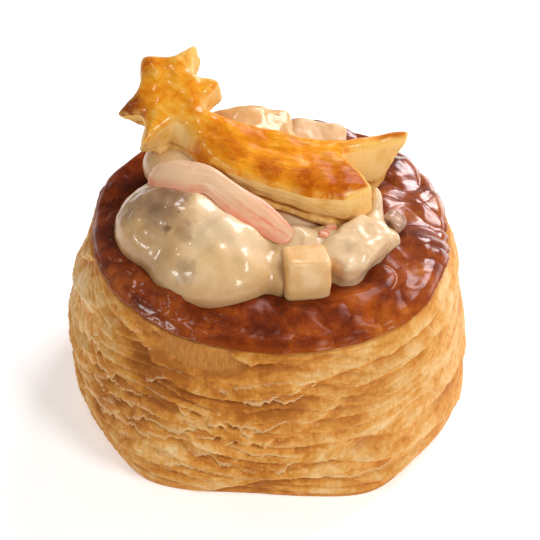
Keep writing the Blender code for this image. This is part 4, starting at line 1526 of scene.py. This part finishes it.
def drape(flat):
    """Bends flat points (along, across, up) over the heap, along the garnish's spine."""
    along = flat[:, 0]
    spine = curve_through(along, SPINE_STATIONS, SPINE_POINTS)
    ahead = curve_through(along + 0.5 * MM, SPINE_STATIONS, SPINE_POINTS)
    behind = curve_through(along - 0.5 * MM, SPINE_STATIONS, SPINE_POINTS)
    forward = ahead - behind
    forward /= np.linalg.norm(forward, axis=1)[:, None]
    across = curve_through(along, SPINE_STATIONS, ACROSS)
    across /= np.linalg.norm(across, axis=1)[:, None]
    up = np.cross(forward, across)
    up /= np.linalg.norm(up, axis=1)[:, None]
    return spine + flat[:, 1:2] * across + flat[:, 2:3] * up


def slab(outline, depth):
    bm = bmesh.new()
    floor = [bm.verts.new((a, b, -depth)) for a, b in outline]
    lifted = bmesh.ops.extrude_face_region(bm, geom=[bm.faces.new(floor)])
    top = [item for item in lifted["geom"] if isinstance(item, bmesh.types.BMVert)]
    bmesh.ops.translate(bm, verts=top, vec=(0, 0, depth))
    bmesh.ops.recalc_face_normals(bm, faces=bm.faces)
    mesh = bpy.data.meshes.new("slab")
    bm.to_mesh(mesh)
    bm.free()
    return mesh


def cut_side_flare(a, b, raised):
    """How far the cut side stands out: one puffed leaf, a groove, and thin leaves at its foot."""
    wander = 0.10 * noise_at(a / 9, b / 9, 3.0) + 0.03 * noise_at(a / 2.4, b / 2.4, 8.0)
    height = raised + wander
    puff = 0.55 * np.sin(math.pi * np.clip((height - GROOVE_AT) / (1 - GROOVE_AT), 0, 1)) ** 0.7
    groove = -0.75 * np.exp(-(((height - GROOVE_AT) / 0.05) ** 2))
    foot = 0.55 * (1 - smoothstep(height, 0.10, GROOVE_AT))
    leaf = height * 8 + 0.8 * noise_at(a / 6, b / 6, 5.0)
    within = leaf - np.floor(leaf)
    thin = (1.5 * np.minimum(1, within / 0.3) * (1 - within) - 0.4) * (0.22 + 0.55 * foot)
    patchy = 0.65 + 0.7 * noise_at(a / 7, b / 7, 17.0)
    pucker = 0.22 * noise_at(a / 2.2, b / 2.2, height * 1.5)
    return (puff * patchy + groove * patchy + foot + thin + pucker) * MM


def move_foot(flat, a, b, raised):
    """Shifts the foot of the flat slab against its top, at the places named above."""
    for along, across, reach, shift in FOOT_SHIFTS:
        near = np.exp(-(((a - along) ** 2 + (b - across) ** 2) / reach**2))
        flat += (near * (1 - raised))[:, None] * np.array(shift) * MM


def glaze_bumps(a, b):
    """Folds along the garnish, fine bumps and blisters, in millimetres."""
    folds = 0.34 * noise_at(a / 9, b / 2.6, 1.0) + 0.10 * noise_at(a / 4.0, b / 1.2, 6.0)
    bumps = 0.22 * noise_at(a / 3.0, b / 3.0, 12.0)
    for along, across, radius, height in BLISTERS:
        bumps = bumps + height * np.exp(-(((a - along) ** 2 + (b - across) ** 2) / radius**2))
    return folds + bumps


def shooting_star():
    outline = rounded_corners(garnish_outline(), TIP_ROUNDING)
    depth = THICKNESSES[0]
    star = remeshed("shooting_star_fine", slab(outline, depth), GARNISH_VOXEL, GARNISH_SMOOTHING, 0.5)
    mesh = star.data
    flat = positions(mesh)
    out = normals(mesh)
    sideways = np.clip(1.15 - np.abs(out[:, 2]) * 1.3, 0, 1)
    raised = np.clip(flat[:, 2] / depth + 1, 0, 1)
    a, b = flat[:, 0] / MM, flat[:, 1] / MM
    inward = edge_distance(flat[:, :2], outline)
    head = 1 - smoothstep(a, 2, 14)
    tail_end = smoothstep(a, 43, 49)
    flare = cut_side_flare(a, b, raised) * (1 - 0.55 * head - 0.5 * tail_end)
    flat[:, :2] += out[:, :2] * (sideways * flare)[:, None]
    move_foot(flat, a, b, raised)
    risen = curve_through(flat[:, 0], THICKNESS_STATIONS, THICKNESSES)[:, 0]
    flat[:, 2] += (raised - 1) * (risen - depth)
    share = np.clip(inward / DOME_WIDTH, 0, 1)
    flat[:, 2] += raised * GARNISH_DOME * (np.sqrt(share * (2 - share)) - 0.45)
    flat[:, 2] += raised**3 * glaze_bumps(a, b) * MM
    store(mesh, "dough_place", np.stack([a, b, raised], -1))
    store(mesh, "cut_side", sideways)
    store(mesh, "leaf_depth", flare / MM)
    store(mesh, "from_edge", inward / MM)
    draped = drape(flat)
    place_points(mesh, draped)
    sag = ripple(draped, SAG, 21.0)
    place_points(mesh, draped + normals(mesh) * sag[:, None])
    return star


star = shooting_star()
print("star:", len(star.data.polygons), "faces")

# %% [markdown]
# The glaze on the star baked to orange gold, with brown blotches where it touched the heat: at the
# tip of one arm, and along the tail's near edge. Streaks and fine creases run along the tail. The
# glaze is thin and pale on the far arms and at the tail's end. The rolled edges are pale too: partly
# thin glaze, partly a painted highlight along them. At the neck the glaze ran down the side. The
# other cut sides have no glaze, so they are pale, with browner lines between the leaves.

# %% Star finish
STAR_DEEP = (0.68, 0.180, 0.004)
STAR_GOLD = (0.84, 0.275, 0.007)
STAR_LIGHT = (0.90, 0.390, 0.025)
STAR_CREAM = (0.92, 0.560, 0.140)
STAR_BROWN = (0.46, 0.085, 0.002)
STAR_DARK = (0.20, 0.036, 0.004)
SIDE_PALE = (0.90, 0.60, 0.23)
SIDE_GOLD = (0.82, 0.45, 0.10)
SIDE_BROWN = (0.50, 0.19, 0.028)
SIDE_FOOT = (0.52, 0.21, 0.035)
# Places in the flat dough: along, across and radius in millimetres
NECK = (12.5, -8.0, 6.5)  # where the glaze ran down over the side
FAR_ARMS = (1.0, 12.0, 8.0)  # where the glaze is thin and pale
BURNT_ARM = (-6.4, -7.6, 5.6)
# Brown places: along, across, radius, strength
BROWN_PLACES = (
    (-6.6, -9.0, 7.0, 1.0), (47.0, -6.5, 6.0, 1.0), (39.5, -7.0, 5.0, 0.95), (32.0, -7.4, 4.5, 0.9),
    (25.0, -6.5, 3.8, 0.8), (42.0, -3.0, 4.0, 0.7), (49.5, 8.0, 4.6, 0.8), (-8.0, 3.0, 3.6, 0.6),
    (36.0, -2.0, 4.0, 0.55), (17.0, -4.5, 3.4, 0.6), (13.0, -3.0, 3.4, 0.5), (0.5, -10.6, 1.9, 0.7),
    (21.0, 1.5, 3.0, 0.4), (30.0, 4.5, 3.0, 0.35), (-9.0, 6.0, 2.6, 0.5), (7.0, 0.5, 2.6, 0.4),
    (43.0, 1.0, 3.0, 0.4),
)


def browned_top(color, dough, speckle):
    """Lays the brown places and the burnt arm over the glaze's colour."""
    wander = dough.noise(0.30, 3.0, 0.6, out=1).scaled(6.0, 6.0, 0).plus((-3.0, -3.0, 0))
    wandered = dough.scaled(1, 1, 0).plus(wander)
    for along, across, radius, strength in BROWN_PLACES:
        mask = spot(wandered, along, across, radius * 1.2, 0.8) * (speckle * 1.9 + 0.05) * strength
        color = mask.at_most(0.95).mix(color, STAR_BROWN)
    return (spot(wandered, *BURNT_ARM, 0.8) * 0.85).mix(color, STAR_DARK)


def cut_side_color(wires, place, raised, speckle):
    """Pale leaves with browner lines between them, and a browner foot."""
    leaf_depth = attribute(wires, "leaf_depth")
    tone = place.noise(0.30, 3.0, 0.6) * 0.8 + leaf_depth * 0.35 + place.noise(1.6, 3.0, 0.6) * 0.2 + 0.05
    color = tone.ramp((0.15, SIDE_BROWN), (0.38, SIDE_GOLD), (0.66, SIDE_PALE))
    groove = (1 - leaf_depth.between(-0.45, 0.05)) * 0.75
    color = groove.mix(color, SIDE_BROWN)
    low = 1 - raised.between(0.06, 0.30)
    return (low * speckle.between(0.30, 0.62) * 0.85).mix(color, SIDE_FOOT)


def star_finish():
    material, wires, shader = new_finish("golden_glaze", Coat_Roughness=0.14, Specular_IOR_Level=0.05)
    place = place_in_mm(wires)
    dough = attribute(wires, "dough_place", "Vector")
    from_edge = attribute(wires, "from_edge")
    raised = dough.part("Z")
    head = 1 - dough.part("X").between(6.0, 18.0)
    end = dough.part("X").between(40.5, 42.5)
    mottle = dough.noise(0.33, 4.0, 0.62, 0.6)
    speckle = dough.noise(0.75, 3.0, 0.55)
    streaks = dough.scaled(0.22, 0.65, 1.0).noise(1.0, 3.0, 0.55, 0.9)
    tone = streaks * 0.60 + mottle * 0.90 + speckle * 0.15 - 0.32 + head * 0.05
    color = tone.ramp((0.25, STAR_DEEP), (0.45, STAR_GOLD), (0.64, STAR_LIGHT), (0.88, STAR_CREAM))
    lines = dough.scaled(0.07, 0.55, 1.0).noise(1.0, 1.0, 0.5, 0.8) - 0.5
    creased = (1 - lines.math("ABSOLUTE").between(0.0, 0.04)) * (1 - head) * mottle.between(0.35, 0.60)
    color = (creased * 0.7).mix(color, STAR_DEEP)
    color = browned_top(color, dough, speckle)
    # Pale rolled edges: partly thin glaze, partly a painted highlight along them.
    rolled = 1 - from_edge.between(0.2, 1.4)
    far_arms = spot(dough, *FAR_ARMS, 0.7) * (1 - from_edge.between(0.8, 3.0))
    pale_glaze_and_edge_highlight = rolled * mottle.between(0.35, 0.6) * 0.45 + far_arms * mottle.between(0.25, 0.55) * 0.9
    pale_glaze_and_edge_highlight = pale_glaze_and_edge_highlight + end * (1 - from_edge.between(0.5, 1.8)) * 0.75
    color = pale_glaze_and_edge_highlight.at_most(1.0).mix(color, STAR_CREAM)
    neck = spot(dough, *NECK, 0.5) * raised.between(0.10, 0.30)
    bare = attribute(wires, "cut_side") + (mottle - 0.5) * 0.4 - raised.between(0.86, 1.0) * 0.30 - neck
    bare = bare.between(0.40, 0.62)
    color = bare.mix(color, cut_side_color(wires, place, raised, speckle))
    height = streaks * 0.6 + mottle * 0.6 + speckle * 0.10 - creased * 0.3
    coat = 0.04 + mottle * 0.14 + head * 0.45 + end * rolled * 0.6
    plug(
        wires, shader, Base_Color=color, Roughness=0.40 + bare * 0.20 + mottle * 0.08,
        Coat_Weight=(1 - bare) * coat, Normal=height.bump(0.30 * MM, 0.5),
    )
    return material


dressed(star, "shooting_star", "glazed_pastry", star_finish())

# %% [markdown]
# ## Small things on the sauce
#
# Three red scraps of surimi lie under the tail, and flecks of herb and pepper dot the scoop. The
# scraps are tiny worn blocks set at their places. The flecks are scattered over the sauce by
# Geometry Nodes, with a fixed seed, and realised.

# %% Red scraps
SCRAPS = {
    # name: where in plan, half-sizes, turns
    "red_scrap_1": ((12.9, -5.2), (1.3, 0.9, 0.7), (20, 10, 30)),
    "red_scrap_2": ((11.2, -8.2), (1.1, 0.9, 0.7), (0, 20, -10)),
    "red_scrap_3": ((11.8, -6.8), (0.7, 0.9, 0.5), (0, 0, 50)),
}
SCRAP_SINK = 0.1  # how deep a scrap's middle lies under the sauce's skin, in millimetres
SCRAP_TONES = ((0.80, 0.22, 0.10), (0.85, 0.34, 0.20), (0.88, 0.50, 0.34))
OVER_ALL = 0.2  # a height in metres above everything


def surface_height(obj, x, y):
    """Where the object's surface lies under a point, looking down."""
    hit, place, _, _ = obj.ray_cast(Vector((x, y, OVER_ALL)), Vector((0, 0, -1)))
    return place.z if hit else 0.0


scrap_look = moist_finish("red_scrap", SCRAP_TONES, 0.8)
for name, ((x, y), half_sizes, turns) in SCRAPS.items():
    level = surface_height(sauce, x * MM, y * MM) / MM
    scrap = chunk(name, (x, y, level - SCRAP_SINK), half_sizes, turns, 0.35, ((1.2, 0.15),))
    dressed(scrap, "ragout", "surimi", scrap_look)

# %% Flecks
FLECK_SIZE = 0.33 * MM
FLECK_FLATNESS = 0.35
FLECK_DENSITY = 3500.0  # to a square metre
FLECK_LOWEST = 42 * MM
FLECK_SCALES = ((0.35, 0.25, 0.6), (1.3, 0.8, 1.0))  # the least and the most
FLECK_SEED = 3
HERB_TONES = ((0.10, 0.08, 0.03), (0.22, 0.15, 0.05), (0.42, 0.22, 0.08))


def fleck_template():
    bm = bmesh.new()
    bmesh.ops.create_icosphere(bm, subdivisions=1, radius=FLECK_SIZE)
    for vertex in bm.verts:
        vertex.co.z *= FLECK_FLATNESS
        vertex.co *= 1 + 0.3 * noise.noise(vertex.co * 4000)
    mesh = bpy.data.meshes.new("fleck")
    bm.to_mesh(mesh)
    bm.free()
    return add_object("fleck_template", mesh)


def fleck_tree():
    builder = NodeBuilder(
        "scatter_flecks", Fleck="Object", Density="Float", Lowest="Float", Seed="Int", Finish="Material"
    )
    given = builder.given
    height = builder.add("ShaderNodeSeparateXYZ", {0: builder.add("GeometryNodeInputPosition")}, "Z")
    points = builder.scatter(builder.compare(height, "GREATER_THAN", given["Lowest"]), given["Density"])
    source = builder.add(
        "GeometryNodeObjectInfo", {0: given["Fleck"]}, "Geometry", transform_space="ORIGINAL"
    )
    placed = builder.add("GeometryNodeInstanceOnPoints", {
        "Points": points, "Instance": source, "Rotation": points.node.outputs["Rotation"],
        "Scale": builder.random(*FLECK_SCALES),
    })
    return builder.finish(builder.add("GeometryNodeRealizeInstances", {0: placed}))


herb = moist_finish("herb_and_pepper", HERB_TONES, 0.9)
fleck = fleck_template()
flecks = fleck_tree().made_on(
    sauce, "herb_flecks", Fleck=fleck, Density=FLECK_DENSITY, Lowest=FLECK_LOWEST, Seed=FLECK_SEED,
    Finish=herb,
)
bpy.data.objects.remove(fleck)
dressed(flecks, "ragout", "cream_sauce", herb)

# %% [markdown]
# ## The table
#
# A plain pale floor catches a soft contact shadow. It glows a little, as a white sweep lit from
# below does. It is stage, not part of the food.

# %% Floor
FLOOR_GLOW = 0.37
FLOOR_TONES = ((0.93, 0.93, 0.94), (0.95, 0.95, 0.96))
FLOOR_HALF_WIDTH = 3.0  # metres


def pale_floor():
    material, wires, shader = new_finish(
        "pale_floor", Specular_IOR_Level=0.1, Emission_Color=(1.0, 1.0, 1.0, 1.0),
        Emission_Strength=FLOOR_GLOW,
    )
    soft = place_in_mm(wires).noise(0.01, 2.0, 0.5)
    plug(wires, shader, Base_Color=soft.mix(*FLOOR_TONES), Roughness=0.8 + soft * 0.1)
    bm = bmesh.new()
    bmesh.ops.create_grid(bm, x_segments=2, y_segments=2, size=FLOOR_HALF_WIDTH)
    mesh = bpy.data.meshes.new("floor")
    bm.to_mesh(mesh)
    bm.free()
    mesh.materials.append(material)
    floor = add_object("floor", mesh)
    return floor


floor = pale_floor()
print("floor:", len(floor.data.polygons), "faces")
